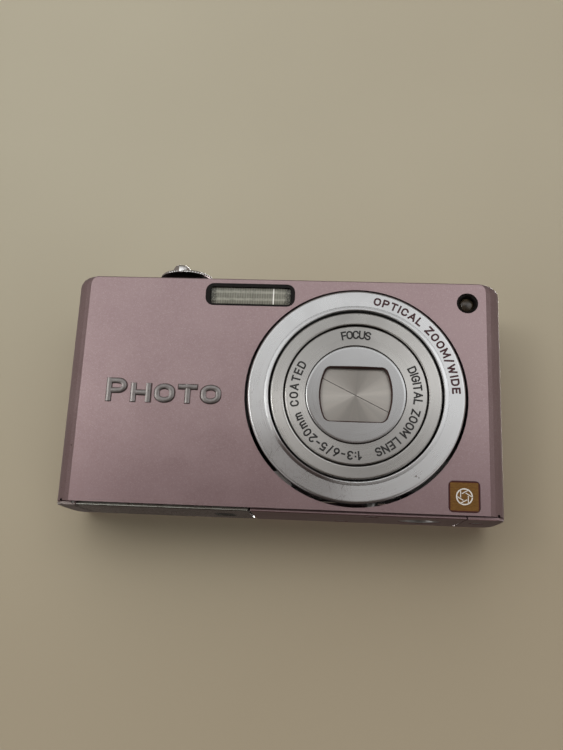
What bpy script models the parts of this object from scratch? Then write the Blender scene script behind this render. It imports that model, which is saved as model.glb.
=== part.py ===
"""Compact digital camera with a two-stage retracting zoom lens.

Standing upright on its flat base: +X is the camera's width (to the right seen from the front),
-Y is the way the lens looks, +Z is up. The origin is the centre of the flat base.
All sizes below are millimetres; meshes are made in metres.
"""
import math

import bmesh
import bpy
from mathutils import Matrix, Vector, geometry

MM = 0.001

# ---------------------------------------------------------------- driving dimensions
WIDTH, HEIGHT, DEPTH = 96.8, 51.9, 22.1
FRONT, BACK = -DEPTH / 2, DEPTH / 2
WALL = 0.8                    # sheet thickness of the covers
FLOOR = 1.0                   # thickness of the underside
GAP = 0.2                     # seam between neighbouring covers
BULGE, BULGE_Y = 0.95, 3.5    # how far the ends swell outwards, and where they are widest
FRONT_CURVE = (4.6, 4.2)      # ellipse of the rounded ends, X and Y radii at the front
CREASE = 20.0                 # angle at which that curve breaks from the flat front
REAR_CURVE = (2.8, 3.8)       # quarter ellipse at the back
TOP_RADIUS = 2.0              # corner seen from the front
EDGE_RADIUS = 0.4
FOOT_RADIUS = 0.35
SEAM_FRONT, SEAM_REAR = -6.8, 7.5
SEAM_TOP = HEIGHT - 2.8       # side frames end here
SILL = 0.75                   # lower edge of the front and rear covers
SIDE_SILL = 0.8               # lower edge of their side returns
FOOT_TOP = SIDE_SILL - GAP    # the side frames' feet under those returns
RETURN_X, RETURN_Y = 46.6, 10.2      # inside the returns, and behind the covers' own thickness
UNDERSIDE_Y = 10.0            # half depth of the underside pieces
DOOR_LIP, DOOR_LIP_Y = 0.3, 8.4      # thickness of the door's thin edge, and where it starts
PLATE_LIP, PLATE_LIP_Y = 0.42, 9.0

LENS_X, LENS_Z = 16.1, 25.6
RING_R, RING_BORE_R = 23.4, 18.85
LENS_HOLE_R = RING_R + 0.75
BARREL_R, BARREL_LIP_R = 18.45, 15.65
INNER_BARREL_R = 15.35
CAP_R = 10.75
BORE_R = 6.0
LENS_FACE = 12.0              # front of the inner barrel, ahead of Y = 0
SEAM_TILT = -26.5             # the line where the blades meet, in degrees
SEAM_HALF = 0.06              # half the slit between them
PIVOT_R, BOSS_R = 12.5, 1.2   # the blades' pivots, from the lens axis, and their bosses
BLADE_Y = (-10.85, -10.5)

FLASH_X, FLASH_Z = -7.95, 48.05
FLASH_W, FLASH_H = 20.2, 5.3
LAMP_X, LAMP_Z, LAMP_R = 40.35, 47.2, 2.35
BADGE_X, BADGE_Z, BADGE_W = 39.05, 4.6, 6.4
NAME_X, NAME_Z = -25.9, 24.9

LEVER_X, LEVER_Y, LEVER_R = -24.3, -2.45, 6.0
LEVER_Z = HEIGHT + 2.27
DIAL_X, DIAL_Y, DIAL_R = -37.4, 4.7, 6.6
DIAL_Z = (HEIGHT - 2.5, HEIGHT + 0.7)
SWITCH_X, SWITCH_Y, SWITCH_TRAVEL = -8.6, -1.6, 2.5
SPEAKER_X, SPEAKER_Y = 24.0, 0.5

LCD_X, LCD_Z, LCD_W, LCD_H = 16.5, 25.4, 54.0, 42.0
PAD_X, PAD_Z, PAD_R = -27.4, 22.5, 8.6
SMALL_BUTTONS = {"display_button": -33.2, "delete_button": -21.6}
SMALL_BUTTON_Z = 8.6

DOOR_X = (-44.3, -6.2)
DOOR_T = 1.2
HINGE_X, HINGE_Z, HINGE_R = -43.7, 0.6, 0.6
KNUCKLE_Y = 7.0
LATCH_X, LATCH_TRAVEL = -12.0, 2.0
PLATE_X = (-5.6, 39.7)
TRIPOD_X, TRIPOD_Y, TRIPOD_R = 31.0, 0.5, 3.175
JACK_X, JACK_Y, JACK_Z = 48.15, (-3.4, 4.4), (12.2, 28.8)
JACK_T = 0.9
EYELET_X, EYELET_Y, EYELET_Z = -45.5, 4.0, 5.6
SIDE_SCREW_Y, SIDE_SCREW_Z = 1.0, 42.0
FOOT_SCREW_X = 43.4
PLATE_SCREWS = {"plate_screw_rear": (14.0, 7.2), "plate_screw_front": (20.0, -7.2)}
SCREW_DEPTH, SCREW_HOLE_R = 0.1, 1.65

THROUGH_FRONT, THROUGH_BACK = (-13, -9), (9, 13)     # reach of cutters through each face
THROUGH_TOP, THROUGH_FLOOR = (48, 54), (-2, 2)
BEYOND = 60.0                 # past the body on any side

FINE, ROUND, MEDIUM, COARSE = 80, 60, 40, 24   # segments of large, medium and small round pieces

PARTS = "compact_camera"
CUTTERS = "cutters"


# ---------------------------------------------------------------- scene and materials
def clear_scene():
    for item in list(bpy.data.objects):
        bpy.data.objects.remove(item, do_unlink=True)
    for name in (PARTS, CUTTERS):
        group = bpy.data.collections.new(name)
        bpy.context.scene.collection.children.link(group)


def material(name, colour, roughness, metallic):
    found = bpy.data.materials.get(name)
    if found:
        return found
    made = bpy.data.materials.new(name)
    made.use_nodes = True
    shader = made.node_tree.nodes["Principled BSDF"]
    shader.inputs["Base Color"].default_value = (*colour, 1.0)
    shader.inputs["Roughness"].default_value = roughness
    shader.inputs["Metallic"].default_value = metallic
    made.diffuse_color = (*colour, 1.0)
    return made


FINISHES = {
    "pink_paint": ((0.52, 0.36, 0.38), 0.38, 0.6),
    "satin_silver": ((0.72, 0.72, 0.70), 0.32, 1.0),
    "brushed_silver": ((0.66, 0.65, 0.61), 0.34, 1.0),
    "chrome": ((0.80, 0.80, 0.80), 0.08, 1.0),
    "door_silver": ((0.56, 0.57, 0.53), 0.30, 1.0),
    "blade_metal": ((0.42, 0.41, 0.38), 0.35, 1.0),
    "black_plastic": ((0.02, 0.02, 0.02), 0.45, 0.0),
    "clear_glass": ((0.80, 0.84, 0.82), 0.05, 0.0),
    "lens_glass": ((0.10, 0.09, 0.14), 0.02, 0.0),
    "lamp_lens": ((0.05, 0.04, 0.03), 0.12, 0.0),
    "display_glass": ((0.01, 0.01, 0.012), 0.06, 0.0),
    "gold_plate": ((0.36, 0.20, 0.05), 0.35, 0.8),
    "sheet_steel": ((0.55, 0.55, 0.56), 0.40, 1.0),
    "circuit_board": ((0.02, 0.12, 0.05), 0.50, 0.0),
    "battery_label": ((0.12, 0.13, 0.15), 0.50, 0.0),
    "card_blue": ((0.03, 0.06, 0.16), 0.45, 0.0),
}


def finish(name):
    return material(name, *FINISHES[name])


# ---------------------------------------------------------------- building helpers
def add(name, bm, slot, origin=(0, 0, 0), turn=None):
    """Make an object from a bmesh in millimetres, with its origin at `origin`."""
    bmesh.ops.recalc_face_normals(bm, faces=bm.faces)
    bmesh.ops.translate(bm, vec=-Vector(origin), verts=bm.verts)
    bmesh.ops.scale(bm, vec=(MM, MM, MM), verts=bm.verts)
    mesh = bpy.data.meshes.new(name)
    bm.to_mesh(mesh)
    bm.free()
    made = bpy.data.objects.new(name, mesh)
    made.location = Vector(origin) * MM
    if turn:
        made.rotation_euler = turn
    if slot:
        mesh.materials.append(finish(slot))
        bpy.data.collections[PARTS].objects.link(made)
    else:
        made.hide_render = True
        made.display_type = "WIRE"
        bpy.data.collections[CUTTERS].objects.link(made)
    return made


def bevel(item, width, segments=2, angle=30.0):
    made = item.modifiers.new("edge", "BEVEL")
    made.width = width * MM
    made.segments = segments
    made.limit_method = "ANGLE"
    made.angle_limit = math.radians(angle)
    return item


def combine(item, other, operation):
    made = item.modifiers.new(operation.lower(), "BOOLEAN")
    made.operation = operation
    made.solver = "EXACT"
    made.object = other
    return item


def cut(item, *others):
    for other in others:
        combine(item, other, "DIFFERENCE")
    return item


def join(item, *others):
    for other in others:
        combine(item, other, "UNION")
    return item


def box(name, x, y, z, slot=None, origin=None):
    """A box between the limits x, y and z."""
    bm = bmesh.new()
    bmesh.ops.create_cube(bm, size=1.0)
    spans = [high - low for low, high in (x, y, z)]
    middle = [(high + low) / 2 for low, high in (x, y, z)]
    bmesh.ops.scale(bm, vec=spans, verts=bm.verts)
    bmesh.ops.translate(bm, vec=middle, verts=bm.verts)
    return add(name, bm, slot, origin or middle)


def rod(name, axis, centre, radius, slot=None, segments=COARSE):
    """A cylinder along X, Y or Z; centre gives its limits along that axis."""
    index = "XYZ".index(axis)
    low, high = centre[index]
    middle = [(low + high) / 2 if i == index else value for i, value in enumerate(centre)]
    turn = {"X": Matrix.Rotation(math.pi / 2, 3, "Y"),
            "Y": Matrix.Rotation(math.pi / 2, 3, "X"),
            "Z": Matrix.Identity(3)}[axis]
    bm = bmesh.new()
    bmesh.ops.create_cone(bm, cap_ends=True, segments=segments, radius1=radius,
                          radius2=radius, depth=high - low)
    bmesh.ops.rotate(bm, cent=(0, 0, 0), matrix=turn, verts=bm.verts)
    bmesh.ops.translate(bm, vec=middle, verts=bm.verts)
    return add(name, bm, slot, middle)


def prism(name, axis, outline, limits, slot=None, origin=(0, 0, 0)):
    """A flat outline extruded along an axis. Its points are (x, z) for Y, (x, y) for Z, (y, z) for X."""
    low, high = limits
    place = {"X": lambda a, b: (low, a, b),
             "Y": lambda a, b: (a, low, b),
             "Z": lambda a, b: (a, b, low)}[axis]
    way = {"X": (1, 0, 0), "Y": (0, 1, 0), "Z": (0, 0, 1)}[axis]
    bm = bmesh.new()
    face = bm.faces.new([bm.verts.new(place(a, b)) for a, b in outline])
    grown = bmesh.ops.extrude_face_region(bm, geom=[face])
    moved = [item for item in grown["geom"] if isinstance(item, bmesh.types.BMVert)]
    bmesh.ops.translate(bm, vec=Vector(way) * (high - low), verts=moved)
    return add(name, bm, slot, origin)


def turned(name, profile, origin, slot=None, steps=ROUND, lens=True):
    """A turned shape. The profile's (radius, height) points run down its outer side.

    On the lens axis, height counts towards the viewer (-Y); otherwise it counts up (+Z).
    """
    bm = bmesh.new()
    verts = [bm.verts.new((radius, 0, height)) for radius, height in profile]
    for first, second in zip(verts, verts[1:]):
        bm.edges.new((first, second))
    if profile[0][0] > 0 and profile[-1][0] > 0:
        bm.edges.new((verts[-1], verts[0]))
    bmesh.ops.scale(bm, vec=(MM, MM, MM), verts=bm.verts)
    mesh = bpy.data.meshes.new(name)
    bm.to_mesh(mesh)
    bm.free()
    made = bpy.data.objects.new(name, mesh)
    made.location = Vector(origin) * MM
    if lens:
        made.rotation_euler = (math.pi / 2, 0, 0)
    screw = made.modifiers.new("turn", "SCREW")
    screw.steps = screw.render_steps = steps
    screw.use_merge_vertices = True
    screw.merge_threshold = 0.000001
    screw.use_smooth_shade = True
    mesh.materials.append(finish(slot))
    bpy.data.collections[PARTS].objects.link(made)
    return made


def arc(centre, radii, start, end, steps):
    """Points along an ellipse's arc, angles in degrees."""
    points = []
    for i in range(steps + 1):
        angle = math.radians(start + (end - start) * i / steps)
        points.append((centre[0] + radii[0] * math.cos(angle),
                       centre[1] + radii[1] * math.sin(angle)))
    return points


def rounded(centre, width, height, radius, steps=6):
    """Outline of a rectangle with round corners."""
    outline = []
    for turn, (side, up) in enumerate([(1, 1), (-1, 1), (-1, -1), (1, -1)]):
        corner = (centre[0] + side * (width / 2 - radius), centre[1] + up * (height / 2 - radius))
        outline += arc(corner, (radius, radius), 90 * turn, 90 * turn + 90, steps)
    return outline


# ---------------------------------------------------------------- the body's shape
def bulge(y):
    """How far the swollen ends stand outside the body's straight sides at this depth."""
    return BULGE * (1 - ((y - BULGE_Y) / (BULGE_Y - FRONT)) ** 2)


def side_x(y):
    """Half width of the body's flank at this depth."""
    return WIDTH / 2 - BULGE + bulge(y)


def plan(wall, shrink_x, shrink_y, steps=5, flank=3):
    """Plan of the body, inside by `wall`, and shrunk towards the middle near its top and foot."""
    front_y = DEPTH / 2 - FRONT_CURVE[1] * math.cos(math.radians(CREASE)) - shrink_y
    rear_y = DEPTH / 2 - REAR_CURVE[1] - shrink_y
    half = WIDTH / 2 - BULGE - shrink_x
    outline = []
    for side, depth, curve, start, end in ((1, rear_y, REAR_CURVE, 0, 90),
                                           (-1, rear_y, REAR_CURVE, 90, 180),
                                           (-1, -front_y, FRONT_CURVE, 180, 270 - CREASE),
                                           (1, -front_y, FRONT_CURVE, 270 + CREASE, 360)):
        radii = (curve[0] - wall, curve[1] - wall)
        outline += arc((side * (half - curve[0]), depth), radii, start, end, steps)
        if end in (180, 360):
            other = -front_y if end == 180 else rear_y
            for k in range(1, flank + 1):
                outline.append((side * (half - wall), depth + (other - depth) * k / (flank + 1)))
    return [(x + math.copysign(bulge(y), x), y) for x, y in outline]


def body_form(name, wall=0.0, floor=0.0):
    """The body's outside (wall 0), or its hollow, as a loft of plans from the foot to the top."""
    top = HEIGHT - wall
    corner = TOP_RADIUS - wall
    levels = [(floor, 0.0, 0.0), (top - corner, 0.0, 0.0)]
    if wall == 0.0:
        levels = [(FOOT_RADIUS * (1 - math.cos(math.radians(a))),
                   FOOT_RADIUS * (1 - math.sin(math.radians(a))),
                   FOOT_RADIUS * (1 - math.sin(math.radians(a)))) for a in (0, 40, 90)]
        levels.append((top - corner, 0.0, 0.0))
    for angle in (20, 40, 58, 72, 90):
        height = top - corner + corner * math.sin(math.radians(angle))
        inward = corner * (1 - math.cos(math.radians(angle)))
        rise = max(0.0, height - (top - EDGE_RADIUS))
        edge = EDGE_RADIUS - math.sqrt(EDGE_RADIUS ** 2 - rise ** 2) if wall == 0.0 else 0.0
        levels.append((height, inward, edge))
    bm = bmesh.new()
    rings = []
    for height, shrink_x, shrink_y in levels:
        rings.append([bm.verts.new((x, y, height)) for x, y in plan(wall, shrink_x, shrink_y)])
    for lower, upper in zip(rings, rings[1:]):
        count = len(lower)
        for i in range(count):
            j = (i + 1) % count
            bm.faces.new((lower[i], lower[j], upper[j], upper[i]))
    bm.faces.new(list(reversed(rings[0])))
    bm.faces.new(rings[-1])
    return bm


def shell(name, floor, hollow):
    """A closed skin of the whole body, from which each cover is cut."""
    made = add(name, body_form(name), "pink_paint")
    return cut(made, hollow)


def zone(name, x=(-BEYOND, BEYOND), y=(-BEYOND, BEYOND), z=(-BEYOND, BEYOND)):
    return box(name, x, y, z)


def opening_outline(grow=0.0):
    """The lens opening about its centre: flat top and bottom, bowed sides, small round corners."""
    half_width, half_height = 7.6 + grow, 5.88 + grow
    side_r, corner_r = 10.0, 1.2 + grow
    middle = half_width - side_r
    reach, drop = side_r - corner_r, half_height - corner_r
    lean = math.degrees(math.asin(drop / reach))
    corner = (middle + math.sqrt(reach ** 2 - drop ** 2), drop)
    quarter = arc((middle, 0), (side_r, side_r), 0, lean, 4)
    quarter += arc(corner, (corner_r, corner_r), lean, 90, 5)[1:]
    mirrored = list(reversed(quarter))
    outline = quarter + [(-x, z) for x, z in mirrored]
    outline += [(-x, -z) for x, z in quarter[1:]]
    return outline + [(x, -z) for x, z in mirrored[:-1]]


def on_lens(points):
    """Move (x, z) points from the lens axis to the body."""
    return [(LENS_X + x, LENS_Z + z) for x, z in points]


# ---------------------------------------------------------------- covers
def build_front_cover(hollow):
    cover = shell("front_cover", 0.0, hollow)
    cut(cover, zone("front_cover_rear", y=(SEAM_FRONT, BEYOND)),
        zone("front_cover_sill", z=(-BEYOND, SILL)),
        zone("front_cover_side_sill", y=(-RETURN_Y, BEYOND), z=(-BEYOND, SIDE_SILL)),
        zone("front_cover_floor", (-RETURN_X, RETURN_X), (-RETURN_Y, BEYOND), (-BEYOND, FLOOR + GAP)),
        rod("lens_hole", "Y", (LENS_X, (-13, -7), LENS_Z), LENS_HOLE_R, segments=FINE),
        prism("flash_hole", "Y", rounded((FLASH_X, FLASH_Z), FLASH_W, FLASH_H, 1.9), THROUGH_FRONT),
        rod("lamp_hole", "Y", (LAMP_X, THROUGH_FRONT, LAMP_Z), LAMP_R),
        prism("badge_pocket", "Y", rounded((BADGE_X, BADGE_Z), BADGE_W + 0.2, BADGE_W + 0.2, 1.0),
              (-13, FRONT + 0.5)))

def build_rear_cover(hollow):
    cover = shell("rear_cover", 0.0, hollow)
    cut(cover, zone("rear_cover_front", y=(-BEYOND, SEAM_REAR + GAP)),
        zone("rear_cover_sill", z=(-BEYOND, SILL)),
        zone("rear_cover_side_sill", y=(-BEYOND, RETURN_Y), z=(-BEYOND, SIDE_SILL)),
        zone("rear_cover_floor", (-RETURN_X, RETURN_X), (-BEYOND, RETURN_Y), (-BEYOND, FLOOR + GAP)),
        prism("display_hole", "Y", rounded((LCD_X, LCD_Z), LCD_W, LCD_H, 1.6), THROUGH_BACK),
        rod("pad_hole", "Y", (PAD_X, THROUGH_BACK, PAD_Z), PAD_R, segments=ROUND),
        rod("dial_notch", "Z", (DIAL_X, DIAL_Y, (49.1, 53)), DIAL_R + 0.25, segments=ROUND))
    for name, x in SMALL_BUTTONS.items():
        cut(cover, prism(name + "_hole", "Y", rounded((x, SMALL_BUTTON_Z), 6.4, 3.8, 1.88), THROUGH_BACK))
    return cover


def build_top_cover(hollow):
    cover = shell("top_cover", 0.0, hollow)
    cut(cover, zone("top_cover_front", y=(-BEYOND, SEAM_FRONT + GAP)),
        zone("top_cover_rear", y=(SEAM_REAR, BEYOND)),
        zone("top_cover_below", z=(-BEYOND, SEAM_TOP + GAP)),
        rod("lever_hole", "Z", (LEVER_X, LEVER_Y, THROUGH_TOP), 3.5),
        rod("dial_hole", "Z", (DIAL_X, DIAL_Y, THROUGH_TOP), DIAL_R + 0.25, segments=ROUND),
        prism("switch_slot", "Z", rounded((SWITCH_X, SWITCH_Y), 7.4, 2.3, 1.14), THROUGH_TOP))
    for i in range(5):
        x = SPEAKER_X + 1.8 * (i - 2)
        cut(cover, rod(f"sound_hole_{i}", "Z", (x, SPEAKER_Y, THROUGH_TOP), 0.4, segments=12))
    return cover


def build_side_frame(name, side, hollow):
    """A side band with its foot; side is 1 on the right, -1 on the left."""
    frame = shell(name, FLOOR, hollow)
    inner = PLATE_X[1] + GAP if side > 0 else -DOOR_X[0] + GAP
    inside = sorted((-side * BEYOND, side * inner))
    cut(frame, zone(name + "_inside", x=inside),
        zone(name + "_front_foot", y=(-BEYOND, -UNDERSIDE_Y)),
        zone(name + "_rear_foot", y=(UNDERSIDE_Y, BEYOND)),
        zone(name + "_front", y=(-BEYOND, SEAM_FRONT + GAP), z=(FOOT_TOP, BEYOND)),
        zone(name + "_rear", y=(SEAM_REAR, BEYOND), z=(FOOT_TOP, BEYOND)),
        zone(name + "_top", z=(SEAM_TOP, BEYOND)))
    return frame


def build_side_frames(hollow):
    right = build_side_frame("side_frame_right", 1, hollow)
    cut(right, box("jack_opening", (45, BEYOND), (JACK_Y[0] - GAP, JACK_Y[1] + GAP),
                   (JACK_Z[0] - GAP, JACK_Z[1] + GAP)),
        rod("right_side_screw_hole", "X", ((44, BEYOND), SIDE_SCREW_Y, SIDE_SCREW_Z), SCREW_HOLE_R),
        rod("right_foot_screw_hole", "Z", (FOOT_SCREW_X, 0.0, THROUGH_FLOOR), SCREW_HOLE_R))
    left = build_side_frame("side_frame_left", -1, hollow)
    cut(left, box("eyelet_opening", (-BEYOND, -45), (EYELET_Y - 2.6, EYELET_Y + 2.6),
                  (EYELET_Z - 2.8, EYELET_Z + 2.8)),
        rod("left_side_screw_hole", "X", ((-BEYOND, -44), SIDE_SCREW_Y, SIDE_SCREW_Z), SCREW_HOLE_R))
    for i, (low, high) in enumerate(((-9.9, -KNUCKLE_Y - GAP), (KNUCKLE_Y + GAP, 9.9))):
        web = box(f"hinge_web_{i}", (-45.0, HINGE_X), (low, high), (0.02, 2 * HINGE_Z - 0.02))
        lug = rod(f"hinge_lug_{i}", "Y", (HINGE_X, (low, high), HINGE_Z), HINGE_R, segments=24)
        join(left, web, lug)
        bore = rod(f"hinge_bore_{i}", "Y", (HINGE_X, (low - 1, high + 1), HINGE_Z), 0.4, segments=16)
        cut(left, bore)


def build_underside():
    plate = box("bottom_plate", PLATE_X, (-UNDERSIDE_Y, UNDERSIDE_Y), (0, FLOOR), "pink_paint")
    bevel(plate, 0.15)
    cut(plate, zone("plate_lip_front", y=(-BEYOND, -PLATE_LIP_Y), z=(PLATE_LIP, BEYOND)),
        zone("plate_lip_rear", y=(PLATE_LIP_Y, BEYOND), z=(PLATE_LIP, BEYOND)),
        rod("tripod_hole", "Z", (TRIPOD_X, TRIPOD_Y, THROUGH_FLOOR), 4.75))
    for name, (x, y) in PLATE_SCREWS.items():
        cut(plate, rod(name + "_hole", "Z", (x, y, THROUGH_FLOOR), SCREW_HOLE_R, segments=24))

    edge = HINGE_R
    outline = [(DOOR_X[1], 0.0), (DOOR_X[1], DOOR_T)]
    outline += arc((HINGE_X, HINGE_Z), (edge, edge), 90, 270, 10)
    door = prism("battery_door", "Y", outline, (-UNDERSIDE_Y, UNDERSIDE_Y), "door_silver",
                 origin=(HINGE_X, 0, HINGE_Z))
    bevel(door, 0.15, angle=50)
    corner_x = (-BEYOND, HINGE_X + HINGE_R + GAP)
    cut(door, zone("door_notch_front", corner_x, (-BEYOND, -KNUCKLE_Y)),
        zone("door_notch_rear", corner_x, (KNUCKLE_Y, BEYOND)),
        zone("door_lip_front", y=(-BEYOND, -DOOR_LIP_Y), z=(DOOR_LIP, BEYOND)),
        zone("door_lip_rear", y=(DOOR_LIP_Y, BEYOND), z=(DOOR_LIP, BEYOND)),
        rod("door_bore", "Y", (HINGE_X, (-12, 12), HINGE_Z), 0.4, segments=16),
        prism("latch_slot", "Z", rounded((LATCH_X, LATCH_TRAVEL / 2), 4.4, 6.8, 0.8, 3), (-1, 3)))
    rod("door_hinge_pin", "Y", (HINGE_X, (-9.8, 9.8), HINGE_Z), 0.25, "sheet_steel", 12)

    knob = prism("door_latch", "Z", rounded((LATCH_X, 0.0), 4.0, 4.2, 0.7, 3), (0.15, 1.7), "black_plastic",
                 origin=(LATCH_X, 0, 0))
    join(knob, box("latch_flange", (LATCH_X - 2.9, LATCH_X + 2.9), (-3.9, 3.9), (1.4, 2.0)))
    for i in (-1, 0, 1):
        y = 1.2 * i
        cut(knob, box(f"latch_groove_{i}", (LATCH_X - 1.4, LATCH_X + 1.4), (y - 0.2, y + 0.2), (-1, 0.4)))


def build_tripod_socket():
    profile = [(0, 6.0), (4.55, 6.0), (4.55, 0.1), (TRIPOD_R, 0.1), (TRIPOD_R, 5.2), (0, 5.2)]
    turned("tripod_socket", profile, (TRIPOD_X, TRIPOD_Y, 0), "sheet_steel", 32, lens=False)


# ---------------------------------------------------------------- screws
def build_screws():
    """Recessed pan-head case screws with a cross slot."""
    places = {name: ((x, y, SCREW_DEPTH), "Z") for name, (x, y) in PLATE_SCREWS.items()}
    head_x = side_x(SIDE_SCREW_Y) - SCREW_DEPTH
    places["foot_screw"] = ((FOOT_SCREW_X, 0.0, SCREW_DEPTH), "Z")
    places["side_screw_right"] = ((head_x, SIDE_SCREW_Y, SIDE_SCREW_Z), "-X")
    places["side_screw_left"] = ((-head_x, SIDE_SCREW_Y, SIDE_SCREW_Z), "X")
    turns = {"Z": (0, 0, 0), "X": (0, math.pi / 2, 0), "-X": (0, -math.pi / 2, 0)}
    for name, (place, way) in places.items():
        screw = turned(name,
                       [(0, 2.9), (0.65, 2.9), (0.65, 0.8), (1.4, 0.8), (1.4, 0.25), (1.15, 0.0), (0, 0.0)],
                       place, "chrome", 16, lens=False)
        screw.rotation_euler = turns[way]
        for k, sides in enumerate(((1.7, 0.35), (0.35, 1.7))):
            slot = box(f"{name}_slot_{k}", (-sides[0] / 2, sides[0] / 2), (-sides[1] / 2, sides[1] / 2),
                       (-0.5, 0.35), origin=(0, 0, 0))
            slot.location = screw.location
            slot.rotation_euler = turns[way]
            cut(screw, slot)


# ---------------------------------------------------------------- lens
def lens_origin():
    return (LENS_X, 0, LENS_Z)


def build_lens_ring():
    profile = [(19.5, 12.45), (22.6, 12.45), (23.05, 12.3), (23.3, 12.05), (RING_R, 11.7), (RING_R, 9.7),
               (RING_BORE_R, 9.7), (RING_BORE_R, 12.05)]
    turned("lens_ring", profile, lens_origin(), "satin_silver", FINE)


def build_fixed_lens():
    base = turned("lens_base", [(20.5, 9.3), (21.4, 9.3), (21.4, -4.6), (20.5, -4.6)], lens_origin(),
                  "black_plastic", MEDIUM)
    plate = rod("lens_base_plate", "Y", (LENS_X, (3.8, 4.6), LENS_Z), 21.2, segments=MEDIUM)
    join(base, plate)
    cut(base, box("sensor_window", (LENS_X - 4.6, LENS_X + 4.6), (3, 6), (LENS_Z - 3.7, LENS_Z + 3.7)))
    cam = turned("cam_ring", [(19.2, 9.0), (20.2, 9.0), (20.2, -3.4), (19.2, -3.4)], lens_origin(),
                 "sheet_steel", MEDIUM)
    for i in range(3):
        angle = math.radians(120 * i + 20)
        slot = box(f"cam_slot_{i}", (18, 21.5), (-0.9, 0.9), (-3.5, 3.5), origin=(0, 0, 0))
        slot.rotation_euler = (Matrix.Rotation(angle, 3, "Y") @ Matrix.Rotation(0.5, 3, "X")).to_euler()
        slot.location = Vector((LENS_X, -2.5, LENS_Z)) * MM
        cut(cam, slot)


def build_barrels():
    turned("barrel_outer", [(BARREL_LIP_R, 12.2), (BARREL_R - 0.25, 12.2), (BARREL_R, 11.95),
                            (BARREL_R, -3.2), (17.3, -3.2), (17.3, 11.4), (BARREL_LIP_R, 11.4)],
           lens_origin(), "brushed_silver", ROUND)
    turned("barrel_inner", [(CAP_R + 0.15, LENS_FACE), (INNER_BARREL_R - 0.25, LENS_FACE),
                            (INNER_BARREL_R, 11.75), (INNER_BARREL_R, -2.4), (14.9, -2.4), (14.9, 11.1),
                            (CAP_R + 0.15, 11.1)],
           lens_origin(), "brushed_silver", ROUND)
    cap = rod("barrel_cap", "Y", (LENS_X, (-LENS_FACE, -11.1), LENS_Z), CAP_R, "satin_silver", ROUND)
    cut(cap, prism("cap_opening", "Y", on_lens(opening_outline()), (-13, -10)))


def seam_frame(along, across):
    """A point given along and across the blades' seam, about the lens axis."""
    tilt = math.radians(SEAM_TILT)
    return (along * math.cos(tilt) - across * math.sin(tilt),
            along * math.sin(tilt) + across * math.cos(tilt))


def clip(outline, side):
    """The part of an outline on one side of the seam."""
    tilt = math.radians(SEAM_TILT)

    def height(point):
        return side * (point[1] * math.cos(tilt) - point[0] * math.sin(tilt)) - SEAM_HALF

    kept = []
    for a, b in zip(outline, outline[1:] + outline[:1]):
        if height(a) >= 0:
            kept.append(a)
        if (height(a) >= 0) != (height(b) >= 0):
            share = height(a) / (height(a) - height(b))
            kept.append((a[0] + (b[0] - a[0]) * share, a[1] + (b[1] - a[1]) * share))
    return kept


def build_blade(name, side):
    """One barrier blade; side 1 is above the seam with its pivot at the right-hand end."""
    pivot = seam_frame(side * PIVOT_R, 0)
    points = opening_outline(0.35) + arc(pivot, (BOSS_R, BOSS_R), 0, 345, 23)
    hull = [points[i] for i in geometry.convex_hull_2d([Vector(p) for p in points])]
    centre = (LENS_X + pivot[0], 0, LENS_Z + pivot[1])
    blade = prism(name, "Y", on_lens(clip(hull, side)), BLADE_Y, "blade_metal", origin=centre)
    boss = rod(name + "_boss", "Y", (centre[0], BLADE_Y, centre[2]), BOSS_R, segments=24)
    hole = rod(name + "_hole", "Y", (centre[0], (-12, -9), centre[2]), 0.6, segments=16)
    join(blade, boss)
    cut(blade, hole)


def build_lens_group():
    cell = turned("lens_cell", [(BORE_R, 9.6), (6.8, 10.2), (14.8, 10.2), (14.8, 8.6), (7.4, 8.6), (7.4, 3.6),
                                (BORE_R, 3.6)], lens_origin(), "black_plastic", MEDIUM)
    for i, side in enumerate((1, -1)):
        x, z = seam_frame(side * PIVOT_R, 0)
        join(cell, rod(f"pivot_pin_{i}", "Y", (LENS_X + x, (-11.0, -9.8), LENS_Z + z), 0.42, segments=16))
    dome = [(0, 9.4), (1.6, 9.33), (3.1, 9.11), (4.5, 8.74), (5.8, 8.2), (5.8, 7.0), (0, 7.0)]
    turned("front_lens", dome, lens_origin(), "lens_glass", 36)
    turned("rear_lens", [(0, 5.6), (5.8, 5.6), (5.8, 4.6), (3.0, 4.2), (0, 4.05)], lens_origin(),
           "lens_glass", COARSE)
    turned("shutter_unit", [(2.8, 3.2), (14.3, 3.2), (14.3, 1.7), (2.8, 1.7)], lens_origin(),
           "black_plastic", COARSE)


def build_focus():
    carrier = rod("focus_carrier", "Y", (LENS_X, (0.4, 1.8), LENS_Z), 8.2, "black_plastic", COARSE)
    rod("zoom_motor", "Y", (-0.4, (-8.5, 4.0), 5.6), 3.3, "sheet_steel", 28)
    box("image_sensor", (LENS_X - 6, LENS_X + 6), (4.85, 6.1), (LENS_Z - 5, LENS_Z + 5), "circuit_board")


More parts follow.
